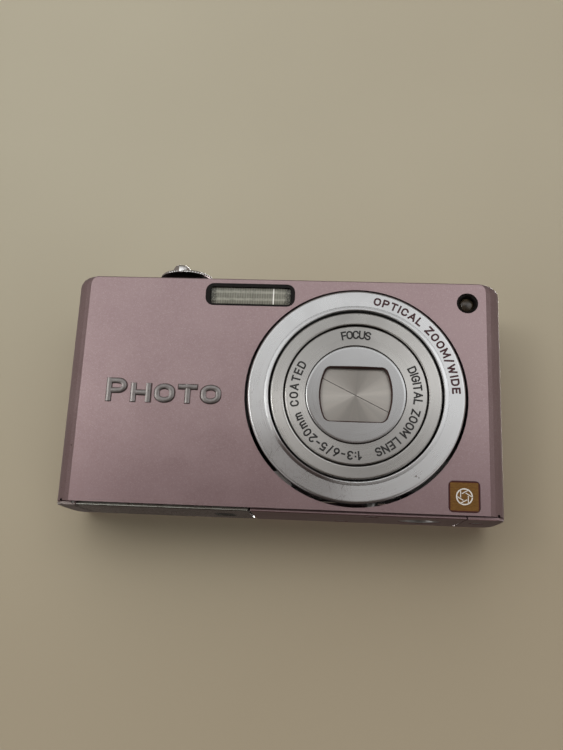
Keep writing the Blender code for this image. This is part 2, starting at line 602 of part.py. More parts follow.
# ---------------------------------------------------------------- front details
def build_flash():
    bezel = prism("flash_bezel", "Y", rounded((FLASH_X, FLASH_Z), FLASH_W - 0.2, FLASH_H - 0.2, 1.8),
                  (FRONT + 0.05, -9.5), "black_plastic")
    window = (FLASH_X + 0.1, FLASH_Z - 0.15)
    cut(bezel, prism("flash_opening", "Y", rounded(window, 18.2, 4.05, 0.7, 4), (-13, -8)))
    prism("flash_window", "Y", rounded(window, 18.0, 3.85, 0.6, 4), (-10.5, -9.9), "clear_glass")
    outer = arc((-9.3, FLASH_Z), (3.9, 2.2), -90, 90, 10)
    inner = arc((-9.3, FLASH_Z), (3.5, 1.8), 90, -90, 10)
    prism("flash_reflector", "X", outer + inner, (FLASH_X - 8.2, FLASH_X + 8.2), "chrome")
    rod("flash_tube", "X", ((FLASH_X - 8.8, FLASH_X + 8.8), -7.4, FLASH_Z), 0.9, "clear_glass", 20)
    rod("flash_capacitor", "Z", (42.3, -6.4, (9, 39)), 3.1, "black_plastic", 28)


def build_front_details():
    dome = [(0, 10.75), (0.7, 10.68), (1.3, 10.48), (1.75, 10.2), (2.2, 10.2), (2.2, 9.0), (0, 9.0)]
    turned("af_lamp_lens", dome, (LAMP_X, 0, LAMP_Z), "lamp_lens", 28)
    prism("badge_plate", "Y", rounded((BADGE_X, BADGE_Z), BADGE_W, BADGE_W, 0.9), (FRONT, FRONT + 0.4),
          "gold_plate")
    prism("nameplate", "Y", rounded((NAME_X, NAME_Z), 25.8, 4.4, 0.5, 3), (-11.5, -11.12), "chrome")


# ---------------------------------------------------------------- controls
def build_top_controls():
    place = (LEVER_X, LEVER_Y, 0)
    turned("shutter_button", [(0, 55.5), (1.6, 55.42), (2.8, 55.15), (3.3, 54.8), (3.4, 54.5), (3.4, 54.15),
                              (1.3, 54.15), (1.3, 49.8), (0, 49.8)], place, "chrome", 32, lens=False)
    lever = turned("zoom_lever", [(3.75, LEVER_Z + 0.7), (5.75, LEVER_Z + 0.7), (LEVER_R, LEVER_Z + 0.45),
                                  (LEVER_R, LEVER_Z + 0.15), (5.85, LEVER_Z), (4.6, LEVER_Z), (4.6, 52.2),
                                  (3.2, 52.2), (3.2, 50.3), (1.6, 50.3), (1.6, 52.9), (3.75, 52.9)],
                   place, "chrome", MEDIUM, lens=False)
    front = LEVER_Y - LEVER_R
    knob = prism("lever_knob", "Z", rounded((LEVER_X - 0.3, front + 0.85), 4.3, 2.2, 0.9, 4),
                 (LEVER_Z + 0.2, LEVER_Z + 1.78))
    join(lever, bevel(knob, 0.25, 1, 60))

    dial = rod("mode_dial", "Z", (DIAL_X, DIAL_Y, DIAL_Z), DIAL_R, "satin_silver", ROUND)
    bevel(dial, 0.25, 1, 60)

    x = SWITCH_X - SWITCH_TRAVEL / 2
    switch = prism("power_switch", "Z", rounded((x, SWITCH_Y), 4.4, 1.8, 0.85, 4), (50.0, HEIGHT + 0.8),
                   "satin_silver", origin=(x, SWITCH_Y, HEIGHT))
    join(switch, box("switch_flange", (x - 3.4, x + 3.4), (SWITCH_Y - 2, SWITCH_Y + 2), (49.9, 50.8)))


def key_outline(turn):
    """A cursor key: a ring segment that faces `turn`, with gaps to its neighbours."""
    outer = arc((PAD_X, PAD_Z), (PAD_R - 0.25, PAD_R - 0.25), turn - 42, turn + 42, 8)
    inner = arc((PAD_X, PAD_Z), (3.9, 3.9), turn + 38, turn - 38, 6)
    return outer + inner


def build_rear_controls():
    keys = {"key_right": 180, "key_up": 90, "key_left": 0, "key_down": 270}
    for name, turn in keys.items():
        bevel(prism(name, "Y", key_outline(turn), (9.4, BACK + 0.45), "satin_silver",
                    origin=(PAD_X, BACK, PAD_Z)), 0.25, 1, 60)
    turned("menu_set_button", [(0, -9.4), (3.5, -9.4), (3.5, -11.3), (3.25, -11.6), (0, -11.6)],
           (PAD_X, 0, PAD_Z), "satin_silver", 32)
    for name, x in SMALL_BUTTONS.items():
        bevel(prism(name, "Y", rounded((x, SMALL_BUTTON_Z), 6.0, 3.4, 1.68, 5), (9.4, BACK + 0.4),
                    "satin_silver", origin=(x, BACK, SMALL_BUTTON_Z)), 0.25, 1, 60)
    prism("lcd_window", "Y", rounded((LCD_X, LCD_Z), LCD_W - 0.3, LCD_H - 0.3, 1.45), (10.0, BACK - 0.05),
          "display_glass")
    box("lcd_panel", (LCD_X - 26, LCD_X + 26), (7.3, 9.8), (LCD_Z - 20, LCD_Z + 20), "black_plastic")


def build_side_fittings():
    low, high = JACK_Z
    outer = JACK_X
    middle, half = outer - JACK_T / 2, JACK_T / 2
    pivot_z = low + half
    outline = [(outer, high), (outer - JACK_T, high)] + arc((middle, pivot_z), (half, half), 180, 360, 10)
    cover = prism("jack_cover", "Y", outline, JACK_Y, "pink_paint", origin=(middle, 0, pivot_z))
    cut(cover, box("jack_finger_notch", (outer - 0.3, outer + 1), (-1.2, 2.2), (high - 0.9, high + 1)))
    av = box("av_socket", (42.4, 46.2), (-2.6, 3.6), (20.6, 27.2), "sheet_steel")
    cut(av, box("av_recess", (43.4, 47), (-1.6, 2.6), (21.4, 26.4)))
    dc = box("dc_socket", (42.4, 46.2), (-2.6, 3.6), (13.2, 19.4), "black_plastic")
    cut(dc, rod("dc_recess", "X", ((43.4, 47), 0.5, 16.3), 1.9, segments=24))

    eyelet = box("strap_eyelet", (EYELET_X - 2.0, EYELET_X), (EYELET_Y - 2.9, EYELET_Y + 2.9),
                 (EYELET_Z - 3.1, EYELET_Z + 3.1), "chrome")
    cut(eyelet, box("eyelet_pocket", (-BEYOND, EYELET_X - 0.5), (EYELET_Y - 2.3, EYELET_Y + 2.3),
                    (EYELET_Z - 2.5, EYELET_Z + 2.5)))
    bar = (EYELET_X - 1.6, EYELET_Y, (EYELET_Z - 2.8, EYELET_Z + 2.8))
    join(eyelet, rod("eyelet_bar", "Z", bar, 0.45, segments=16))


# ---------------------------------------------------------------- inside
def build_inside():
    frame = box("chassis", (-44.0, 44.0), (6.45, 7.05), (4.5, 48.0), "sheet_steel")
    cut(frame, box("chassis_window", (-10, 2), (6, 8), (10, 40)))
    sleeve = box("battery_box", (-43.5, -6.7), (-8.0, 0.8), (2.6, 44.8), "black_plastic")
    cut(sleeve, box("battery_bay", (-42.9, -7.3), (-7.4, 0.2), (-1, 44.2)))
    bevel(box("battery", (-42.6, -7.6), (-7.1, -0.1), (3.0, 43.5), "battery_label"), 0.8, 2)
    prism("memory_card", "Y", [(-38.5, 2.2), (-14.5, 2.2), (-14.5, 34.2), (-36.0, 34.2), (-38.5, 31.7)],
          (1.9, 4.0), "card_blue")
    box("main_board", (-44.5, -7.0), (5.0, 5.9), (3.5, 47.0), "circuit_board")


def main():
    clear_scene()
    hollow = add("hollow", body_form("hollow", WALL, FLOOR), None)
    build_front_cover(hollow)
    build_rear_cover(hollow)
    build_top_cover(hollow)
    build_side_frames(hollow)
    build_underside()
    build_tripod_socket()
    build_screws()
    build_lens_ring()
    build_fixed_lens()
    build_barrels()
    build_blade("barrier_blade_upper", 1)
    build_blade("barrier_blade_lower", -1)
    build_lens_group()
    build_focus()
    build_flash()
    build_front_details()
    build_top_controls()
    build_rear_controls()
    build_side_fittings()
    build_inside()


main()
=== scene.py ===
"""Looks of the compact digital camera: materials, fine detail, stage, light and camera.

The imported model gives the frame. Pieces that need a finer shape than the model's are rebuilt here on
the same bodies, and every other node keeps its mesh and gets a material. Lengths are in millimetres
unless a name says otherwise, and meshes are made in metres.
"""
import math

import bmesh
import bpy
from mathutils import Matrix, Vector


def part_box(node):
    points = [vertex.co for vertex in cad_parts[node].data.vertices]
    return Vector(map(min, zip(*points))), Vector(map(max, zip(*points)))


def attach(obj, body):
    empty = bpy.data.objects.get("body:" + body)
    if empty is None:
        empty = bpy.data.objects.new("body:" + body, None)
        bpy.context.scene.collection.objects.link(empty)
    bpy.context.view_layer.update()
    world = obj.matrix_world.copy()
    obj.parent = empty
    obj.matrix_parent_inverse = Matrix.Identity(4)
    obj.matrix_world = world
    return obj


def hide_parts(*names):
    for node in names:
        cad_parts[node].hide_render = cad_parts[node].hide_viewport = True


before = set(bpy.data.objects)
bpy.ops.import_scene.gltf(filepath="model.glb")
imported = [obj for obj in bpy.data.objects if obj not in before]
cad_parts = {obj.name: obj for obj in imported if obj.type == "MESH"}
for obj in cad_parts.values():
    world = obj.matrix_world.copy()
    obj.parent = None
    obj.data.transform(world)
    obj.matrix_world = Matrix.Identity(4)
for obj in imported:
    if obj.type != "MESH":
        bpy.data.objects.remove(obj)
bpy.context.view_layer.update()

MM = 0.001
TAU = 2 * math.pi

FRONT, BACK, HEIGHT = -11.05, 11.05, 51.9  # Y of the covers' faces, Z of the top
KEY_FACE, MENU_FACE = 11.5, 11.6  # Y of the buttons' faces on the back
LENS = (16.1, 25.6)  # X and Z of the lens axis
BADGE_CENTRE, LAMP_CENTRE = (39.05, 4.6), (40.35, 47.2)
DISPLAY_CENTRE, DISPLAY_HALF = (16.5, 25.4), (25.2, 18.9)  # of the picture area
TRIPOD = (31.0, 0.5)  # X and Y of the tripod socket
LEVER, DIAL = (-24.3, -2.45), (-37.4, 4.7)  # X and Y of the zoom lever and the mode dial
PAD = (-27.4, 22.5)  # X and Z of the middle of the four keys
RING_TOP, OUTER_TOP, INNER_TOP = 12.45, 12.2, 12.0  # how far the lens pieces stand ahead of Y = 0
RING_SEGMENTS = 288
RIB_PITCH = 0.56  # of the ribs behind the flash window
INK = 0.012  # thickness of printed marks


# ---------- mesh code
def closed_mesh(name, build, sharp):
    """A mesh from a function that fills a bmesh in millimetres."""
    bm = bmesh.new()
    build(bm)
    bmesh.ops.remove_doubles(bm, verts=bm.verts, dist=1e-5)
    bmesh.ops.recalc_face_normals(bm, faces=bm.faces)
    bmesh.ops.scale(bm, vec=(MM, MM, MM), verts=bm.verts)
    mesh = bpy.data.meshes.new(name)
    bm.to_mesh(mesh)
    bm.free()
    mesh.polygons.foreach_set("use_smooth", [True] * len(mesh.polygons))
    mesh.set_sharp_from_angle(angle=math.radians(sharp))
    return mesh


def piece(name, build, material, body="root", replaces=(), sharp=35.0):
    """A detailed piece on a body, made of one or more closed shells."""
    mesh = closed_mesh(name, build, sharp)
    mesh.materials.append(material)
    obj = bpy.data.objects.new(name, mesh)
    bpy.context.scene.collection.objects.link(obj)
    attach(obj, body)
    if replaces:
        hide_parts(*replaces)
    return obj


def bridge(bm, loops, wrap=False, cap=False):
    """Quads between successive loops of equal length; wrap joins the last to the first."""
    rows = [[bm.verts.new(p) for p in loop] for loop in loops]
    count = len(rows[0])
    pairs = list(zip(rows, rows[1:]))
    if wrap:
        pairs.append((rows[-1], rows[0]))
    for low, high in pairs:
        for i in range(count):
            j = (i + 1) % count
            bm.faces.new((low[i], low[j], high[j], high[i]))
    if cap:
        bm.faces.new(rows[0][::-1])
        bm.faces.new(rows[-1])


def outline(reach, height, centre=LENS, axis="y", count=RING_SEGMENTS, spread=0.0):
    """A loop about an axis along -Y or +Z; reach is a radius, or a function of the angle."""
    points = []
    for i in range(count):
        angle = TAU * i / count
        r = (reach(angle) if callable(reach) else reach) + spread
        u, v = centre[0] + r * math.cos(angle), centre[1] + r * math.sin(angle)
        points.append((u, -height, v) if axis == "y" else (u, v, height))
    return points


def turned(profile, centre=LENS, axis="y", segments=RING_SEGMENTS, wave=None, wrap=True):
    """A builder that spins (radius, height) points; wave = (function, first index, last index)."""
    def build(bm):
        loops = []
        for i, (radius, height) in enumerate(profile):
            rippled = wave and wave[1] <= i <= wave[2]
            reach = (lambda angle: radius + wave[0](angle)) if rippled else radius
            loops.append(outline(reach, height, centre, axis, segments))
        bridge(bm, loops, wrap=wrap, cap=not wrap)
    return build


def knurl(teeth, depth):
    """A wave of small teeth for the edge of a turned shape."""
    return lambda angle: -depth * (1 + math.cos(teeth * angle))


def bowed_box_reach(half_w, half_h, corner, bow_r):
    """Distance from the centre to a box's edge with bowed sides and small round corners."""
    def inside(x, y):
        x, y = abs(x), abs(y)
        side = half_w - bow_r + math.sqrt(max(bow_r ** 2 - y ** 2, 0.0))
        dx, dy = x - (side - corner), y - (half_h - corner)
        return math.hypot(max(dx, 0.0), max(dy, 0.0)) + min(max(dx, dy), 0.0) <= corner

    def reach(angle):
        low, high = 0.0, 3 * max(half_w, half_h)
        for _ in range(40):
            middle = (low + high) / 2
            if inside(middle * math.cos(angle), middle * math.sin(angle)):
                low = middle
            else:
                high = middle
        return low
    return reach


def several(*builds):
    """A builder that runs others, each on a mesh of its own."""
    def build(bm):
        for each in builds:
            part = bmesh.new()
            each(part)
            mesh = bpy.data.meshes.new("part")
            part.to_mesh(mesh)
            part.free()
            bm.from_mesh(mesh)
            bpy.data.meshes.remove(mesh)
    return build


def slab(shape, low, high, axis="y"):
    """A builder for a flat shape, extruded along Y or along Z."""
    loops = [[(u, end, v) if axis == "y" else (u, v, end) for u, v in shape] for end in (low, high)]
    return lambda bm: bridge(bm, loops, cap=True)


# ---------- lettering and marks
def bow(cx, cy, rx, ry, start, end, steps=8):
    """Points of an elliptic arc, angles in degrees."""
    points = []
    for i in range(steps + 1):
        angle = math.radians(start + (end - start) * i / steps)
        points.append((cx + rx * math.cos(angle), cy + ry * math.sin(angle)))
    return points


ROUND = bow(0.5, 0.62, 0.5, 0.38, 0, 180, 14) + bow(0.5, 0.38, 0.5, 0.38, 180, 360, 14)
OPEN_ROUND = bow(0.5, 0.66, 0.5, 0.34, 18, 180, 12) + bow(0.5, 0.34, 0.5, 0.34, 180, 342, 12)
# Plain upright letters, digits and marks: width as a share of the height, then strokes in the unit square.
# A stroke whose last point repeats its first is closed.
STROKES = {
    "A": (0.76, [[(0, 0), (0.5, 1), (1, 0)], [(0.17, 0.3), (0.83, 0.3)]]),
    "C": (0.68, [OPEN_ROUND]),
    "D": (0.70, [[(0, 0), (0.4, 0), *bow(0.5, 0.4, 0.5, 0.4, -70, 0), *bow(0.5, 0.6, 0.5, 0.4, 0, 70),
                  (0.4, 1), (0, 1), (0, 0)]]),
    "E": (0.56, [[(1, 1), (0, 1), (0, 0), (1, 0)], [(0, 0.52), (0.88, 0.52)]]),
    "F": (0.54, [[(0, 0), (0, 1), (1, 1)], [(0, 0.5), (0.88, 0.5)]]),
    "G": (0.70, [[*OPEN_ROUND, (1, 0.46), (0.56, 0.46)]]),
    "H": (0.72, [[(0, 0), (0, 1)], [(1, 0), (1, 1)], [(0, 0.5), (1, 0.5)]]),
    "I": (0.0, [[(0, 0), (0, 1)]]),
    "L": (0.54, [[(0, 1), (0, 0), (1, 0)]]),
    "M": (0.88, [[(0, 0), (0, 1), (0.5, 0.22), (1, 1), (1, 0)]]),
    "N": (0.72, [[(0, 0), (0, 1), (1, 0), (1, 1)]]),
    "O": (0.72, [ROUND + ROUND[:1]]),
    "P": (0.64, [[(0, 0), (0, 1), (0.5, 1), *bow(0.6, 0.73, 0.4, 0.27, 80, -80, 10), (0.5, 0.46),
                  (0, 0.46)]]),
    "S": (0.64, [bow(0.5, 0.755, 0.5, 0.245, 20, 270, 14) + bow(0.5, 0.255, 0.5, 0.255, 88, -160, 14)]),
    "T": (0.66, [[(0, 1), (1, 1)], [(0.5, 1), (0.5, 0)]]),
    "U": (0.70, [[(0, 1), *bow(0.5, 0.36, 0.5, 0.36, 180, 360, 14), (1, 1)]]),
    "W": (1.02, [[(0, 1), (0.26, 0), (0.5, 0.8), (0.74, 0), (1, 1)]]),
    "Z": (0.64, [[(0, 1), (1, 1), (0, 0), (1, 0)]]),
    "m": (0.84, [[(0, 0), (0, 0.7)], [(0, 0.48), *bow(0.25, 0.48, 0.25, 0.22, 170, 0), (0.5, 0)],
                 [(0.5, 0.48), *bow(0.75, 0.48, 0.25, 0.22, 170, 0), (1, 0)]]),
    "0": (0.64, [ROUND + ROUND[:1]]),
    "1": (0.28, [[(0, 0.74), (1, 1), (1, 0)]]),
    "2": (0.60, [[*bow(0.5, 0.72, 0.5, 0.28, 165, -20, 12), (0, 0), (1, 0)]]),
    "3": (0.60, [bow(0.45, 0.76, 0.5, 0.24, 150, -80, 10) + bow(0.45, 0.27, 0.55, 0.27, 80, -150, 10)]),
    "5": (0.60, [[(0.92, 1), (0.08, 1), (0.03, 0.55), *bow(0.46, 0.31, 0.54, 0.31, 120, -150, 12)]]),
    "6": (0.62, [[(0.8, 1), *bow(0.52, 0.3, 0.52, 0.3, 150, 490, 20)]]),
    ":": (0.0, [[(0, 0.12), (0, 0.13)], [(0, 0.62), (0, 0.63)]]),
    "-": (0.36, [[(0, 0.46), (1, 0.46)]]),
    "/": (0.40, [[(0, -0.08), (1, 1.08)]]),
}
SPACE = 0.42  # a blank's width, as a share of the capitals' height
SHARP_TURN = 0.3  # cosine of a turn that starts a new stroke


def ribbon(bm, path, half, depth, bevel, place):
    """A stroke with a flat or bevelled top along a path; place(x, y, height) gives each position."""
    closed = len(path) > 2 and math.dist(path[0], path[-1]) < 1e-6
    points = [Vector(p) for i, p in enumerate(path) if i == 0 or math.dist(p, path[i - 1]) > 1e-6]
    if closed:
        points = points[:-1]
    else:
        points[0] = points[0] + (points[0] - points[1]).normalized() * half
        points[-1] = points[-1] + (points[-1] - points[-2]).normalized() * half
    count = len(points)
    inset = min(bevel, half * 0.8)
    section = [(-half, 0.0), (-half, depth), (half, depth), (half, 0.0)]
    if bevel:
        slope = [(half, depth - bevel), (half - 0.3 * inset, depth - 0.3 * bevel), (half - inset, depth)]
        section[1:3] = [(-across, up) for across, up in slope] + slope[::-1]
    rings = []
    for i, point in enumerate(points):
        before = points[i - 1] if closed or i else None
        after = points[(i + 1) % count] if closed or i < count - 1 else None
        a = (point - before).normalized() if before is not None else (after - point).normalized()
        b = (after - point).normalized() if after is not None else a
        along = (a + b).normalized() if (a + b).length > 0.2 else a
        side = Vector((-along.y, along.x)) * min(1.0 / max(along.dot(a), 0.2), 1.7)
        rings.append([place(*(point + side * across), up) for across, up in section])
    bridge(bm, rings, wrap=closed, cap=not closed)


def strokes_of(path):
    """Split a path at its sharp corners, so each straight stroke keeps its full width."""
    parts = [[path[0]]]
    for i, point in enumerate(path[1:], 1):
        parts[-1].append(point)
        if i == len(path) - 1:
            break
        into = (Vector(point) - Vector(path[i - 1])).normalized()
        out = (Vector(path[i + 1]) - Vector(point)).normalized()
        if into.dot(out) < SHARP_TURN:
            parts.append([point])
    return parts


def set_text(text, length, height, stroke, place, depth=2 * INK, bevel=0.0, stretch=1.0):
    """A builder that spreads a line over a length; place(middle, across, up, out) positions its points."""
    margin = stroke / 2

    def build(bm):
        widths = [SPACE * height if c == " " else stroke + STROKES[c][0] * height * stretch for c in text]
        gap = (length - sum(widths)) / max(len(text) - 1, 1)
        along = 0.0
        for c, width in zip(text, widths):
            middle = along + width / 2
            parts = []
            for path in STROKES[c][1] if c != " " else []:
                parts += strokes_of([(margin + x * (width - stroke) - width / 2,
                                      margin + y * (height - stroke)) for x, y in path])
            for k, part in enumerate(parts):
                ribbon(bm, part, margin, depth - 0.002 * k, bevel,
                       lambda x, y, up: place(middle, x, y, up))
            along += width + gap
    return build


def arc_text(text, radius, start, end, height, front, stroke, **style):
    """Text on an arc about the lens, clockwise from start to end in degrees from the top."""
    def place(middle, across, up, out):
        angle = math.radians(start) + middle / radius
        r = radius + up
        x = LENS[0] + r * math.sin(angle) + across * math.cos(angle)
        z = LENS[1] + r * math.cos(angle) - across * math.sin(angle)
        return (x, -(front + out), z)
    return set_text(text, math.radians(end - start) * radius, height, stroke, place, **style)


def line_text(text, centre, length, height, face, stroke, side="front", **style):
    """Text on a flat face: side is front, back or top."""
    def place(middle, across, up, out):
        s, t = middle - length / 2 + across, up - height / 2
        if side == "front":
            return (centre[0] + s, face - out, centre[1] + t)
        if side == "back":
            return (centre[0] - s, face + out, centre[1] + t)
        return (centre[0] + s, centre[1] + t, face + out)
    return set_text(text, length, height, stroke, place, **style)


def printed(shapes, face, axis="y", depth=0.02):
    """A builder for small printed shapes on the back, or on the top with axis z."""
    return several(*[slab(shape, face - 0.01, face + depth, axis) for shape in shapes])


def polygon(cx, cz, radius, sides, turn=0.0):
    """Corners of a regular polygon."""
    return bow(cx, cz, radius, radius, math.degrees(turn), math.degrees(turn) + 360, sides)[:-1]


def ring_strip(cx, cz, radius, width, start=0.0, sweep=TAU, steps=40):
    """An arc-shaped stroke as one outline."""
    ends = (math.degrees(start), math.degrees(start + sweep), steps)
    inner = radius - width
    return bow(cx, cz, radius, radius, *ends) + bow(cx, cz, inner, inner, *ends)[::-1]


# ---------- node materials
class Nodes:
    """A node tree under construction."""

    def __init__(self, tree):
        self.tree = tree
        tree.nodes.clear()

    def node(self, kind, inputs=None, **settings):
        made = self.tree.nodes.new("ShaderNode" + kind)
        for key, value in settings.items():
            setattr(made, key, value)
        for key, value in (inputs or {}).items():
            if isinstance(value, bpy.types.NodeSocket):
                self.tree.links.new(value, made.inputs[key])
            else:
                made.inputs[key].default_value = value
        return made

    def math(self, operation, a, b=0.0, clamp=False):
        return self.node("Math", {0: a, 1: b}, operation=operation, use_clamp=clamp).outputs[0]

    def times(self, a, b):
        return self.math("MULTIPLY", a, b)

    def plus(self, a, b, clamp=False):
        return self.math("ADD", a, b, clamp)

    def vector(self, operation, a, b=(0.0, 0.0, 0.0), **inputs):
        made = self.node("VectorMath", {0: a, 1: b, **inputs}, operation=operation)
        return made.outputs["Value" if operation in ("LENGTH", "DISTANCE", "DOT_PRODUCT") else 0]

    def ramp(self, value, low, high, to_low=0.0, to_high=1.0):
        inputs = {"Value": value, "From Min": low, "From Max": high, "To Min": to_low, "To Max": to_high}
        return self.node("MapRange", inputs, interpolation_type="SMOOTHSTEP").outputs[0]

    def band(self, value, low, high, soft):
        """1 between low and high, falling to 0 over soft on each side."""
        return self.times(self.ramp(value, low - soft, low), self.ramp(value, high, high + soft, 1.0, 0.0))

    def mix(self, factor, a, b):
        inputs = {0: factor, 6: a if isinstance(a, bpy.types.NodeSocket) else (*a, 1.0),
                  7: b if isinstance(b, bpy.types.NodeSocket) else (*b, 1.0)}
        return self.node("Mix", inputs, data_type="RGBA").outputs[2]


class Shader(Nodes):
    """A node material; points are in millimetres in the object's own frame."""

    def __init__(self, name):
        self.material = bpy.data.materials.new(name)
        self.material.use_nodes = True
        super().__init__(self.material.node_tree)
        self.point = self.vector("SCALE", self.node("TexCoord").outputs["Object"], Scale=1000.0)
        self.x, self.y, self.z = self.node("SeparateXYZ", {"Vector": self.point}).outputs

    def noise(self, per_mm, detail=2.0, rough=0.5, stretch=None, shift=0.0, distort=0.0):
        at = self.point
        if stretch or shift:
            at = self.vector("MULTIPLY", at, stretch or (1.0, 1.0, 1.0))
            at = self.vector("ADD", at, (shift, shift, shift))
        return self.node("TexNoise", {"Vector": at, "Scale": per_mm, "Detail": detail,
                                      "Roughness": rough, "Distortion": distort}).outputs[0]

    def flat_noise(self, across, up, scale, detail):
        at = self.node("CombineXYZ", {0: across, 1: up}).outputs[0]
        return self.node("TexNoise", {"Vector": at, "Scale": scale, "Detail": detail}).outputs[0]

    def cells(self, per_mm, distance="EUCLIDEAN"):
        """A random value for each of many cells."""
        made = self.node("TexVoronoi", {"Vector": self.point, "Scale": per_mm}, distance=distance)
        return self.node("SeparateColor", {0: made.outputs["Color"]}).outputs[0]

    def about(self):
        """(distance, angle in turns, radial direction) about the lens axis."""
        arm = self.vector("SUBTRACT", self.point, (LENS[0], 0.0, LENS[1]))
        arm = self.vector("MULTIPLY", arm, (1.0, 0.0, 1.0))
        parts = self.node("SeparateXYZ", {"Vector": arm}).outputs
        turn = self.math("DIVIDE", self.math("ARCTAN2", parts[2], parts[0]), TAU)
        return self.vector("LENGTH", arm), turn, arm

    def radial_tangent(self):
        arm = self.vector("NORMALIZE", self.about()[2])
        return self.node("VectorTransform", {"Vector": arm}, vector_type="VECTOR",
                         convert_from="OBJECT", convert_to="WORLD").outputs[0]

    def bump(self, height, depth, strength):
        return self.node("Bump", {"Height": height, "Distance": depth * MM, "Strength": strength}).outputs[0]

    def surface(self, base, rough, **inputs):
        """Principled shader; underscores in the names of inputs stand for spaces."""
        given = {key.replace("_", " "): value for key, value in inputs.items()}
        return self.node("BsdfPrincipled", {"Base Color": base, "Roughness": rough, **given}).outputs[0]

    def finish(self, base, rough, normal, **inputs):
        return self.end(self.surface(base, rough, Normal=normal, **inputs))

    def part_clear(self, share, surface, colour=(1.0, 1.0, 1.0)):
        """Ends as a surface that a share of the light passes through."""
        clear = self.node("BsdfTransparent", {"Color": (*colour, 1.0)}).outputs[0]
        return self.end(self.node("MixShader", {0: share, 1: surface, 2: clear}).outputs[0])

    def end(self, shader):
        self.node("OutputMaterial", {"Surface": shader})
        return self.material


def pink_paint(name):
    """Satin metallic lacquer with a faint mottle, tiny flakes and a few chips at the front left corner.

    It has a painted shade towards the base and a deeper painted shade on its flat underside; the foot of the
    left corner is bare and grey.
    """
    s = Shader(name)
    cloud = s.noise(0.09, 3.0, 0.55)
    mottle = s.noise(1.6, 3.0, 0.6)
    flake = s.cells(7.0)
    tint = s.mix(s.ramp(cloud, 0.3, 0.7), PINK_DEEP, PINK_LIT)
    tint = s.mix(s.ramp(mottle, 0.25, 0.75, 0.0, 0.35), tint, PINK_PALE)
    tint = s.mix(s.ramp(flake, 0.8, 1.0, 0.0, 0.3), tint, PINK_FLAKE)
    end = s.times(s.ramp(s.x, -44.6, -44.1, 1.0, 0.0), s.ramp(s.y, -5.0, -4.0, 1.0, 0.0))
    low = s.band(s.z, 1.0, 12.0, 2.0)
    chips = s.times(s.ramp(s.noise(1.1, 4.0, 0.7, shift=31.0), 0.63, 0.66), end)
    tint = s.mix(s.times(chips, low), tint, CHIP)
    foot = s.times(s.ramp(s.z, 0.52, 0.60, 1.0, 0.0), s.ramp(s.x, -43.5, -43.0, 1.0, 0.0))
    tint = s.mix(foot, tint, FOOT_GREY)
    # painted shade: the paint darkens towards the base
    tint = s.mix(s.ramp(s.z, 0.0, 24.0, 0.5, 0.0), tint, PINK_LOW_PAINTED_SHADE)
    # painted shade on the paint's flat underside
    base = s.times(s.ramp(s.z, 0.05, 0.15, 1.0, 0.0), s.ramp(s.x, -43.5, -43.0))
    tint = s.mix(base, tint, PINK_UNDERSIDE_SHADE)
    rough = s.plus(s.ramp(mottle, 0.2, 0.8, 0.29, 0.37), s.ramp(cloud, 0.3, 0.7, 0.0, 0.03))
    grain = s.plus(s.noise(9.0, 2.0), s.times(s.noise(2.2, 2.0), 0.8))
    return s.finish(tint, rough, s.bump(grain, 0.004, 0.35), Metallic=0.8, Coat_Weight=0.12,
                    Coat_Roughness=0.2)


def turned_metal(name, colour, dark, rough, spin, marks=False, painted_cones=False):
    """Metal faced on a lathe about the lens: fine rings, streaks round the axis, soft cone-shaped highlights;
    painted_cones adds painted dark sectors.
    """
    s = Shader(name)
    distance, turn, _ = s.about()
    rings = s.flat_noise(distance, s.times(turn, 0.6), 5.0, 4.0)
    cloud = s.noise(0.25, 2.0)
    tint = s.mix(s.ramp(rings, 0.2, 0.8), dark, colour)
    tint = s.mix(s.ramp(cloud, 0.35, 0.75, 0.0, 0.25), tint, dark)
    roughness = s.plus(s.ramp(rings, 0.2, 0.8, rough - 0.02, rough + 0.02),
                       s.ramp(cloud, 0.3, 0.7, 0.0, 0.03))
    if painted_cones:
        # painted shade: darker sectors round the barrel, standing for the spun finish's highlights
        painted_sectors = s.math("SINE", s.plus(s.times(turn, 2 * TAU), PAINTED_CONE_TURN))
        tint = s.mix(s.ramp(painted_sectors, -1.0, 1.0, 0.45, 0.0), tint, tuple(0.55 * c for c in dark))
    if marks:
        tint, roughness, rings = handling_marks(s, distance, turn, tint, roughness, rings)
    return s.finish(tint, roughness, s.bump(rings, LINE_DEPTH, 0.5), Metallic=1.0, Anisotropic=spin,
                    Tangent=s.radial_tangent())


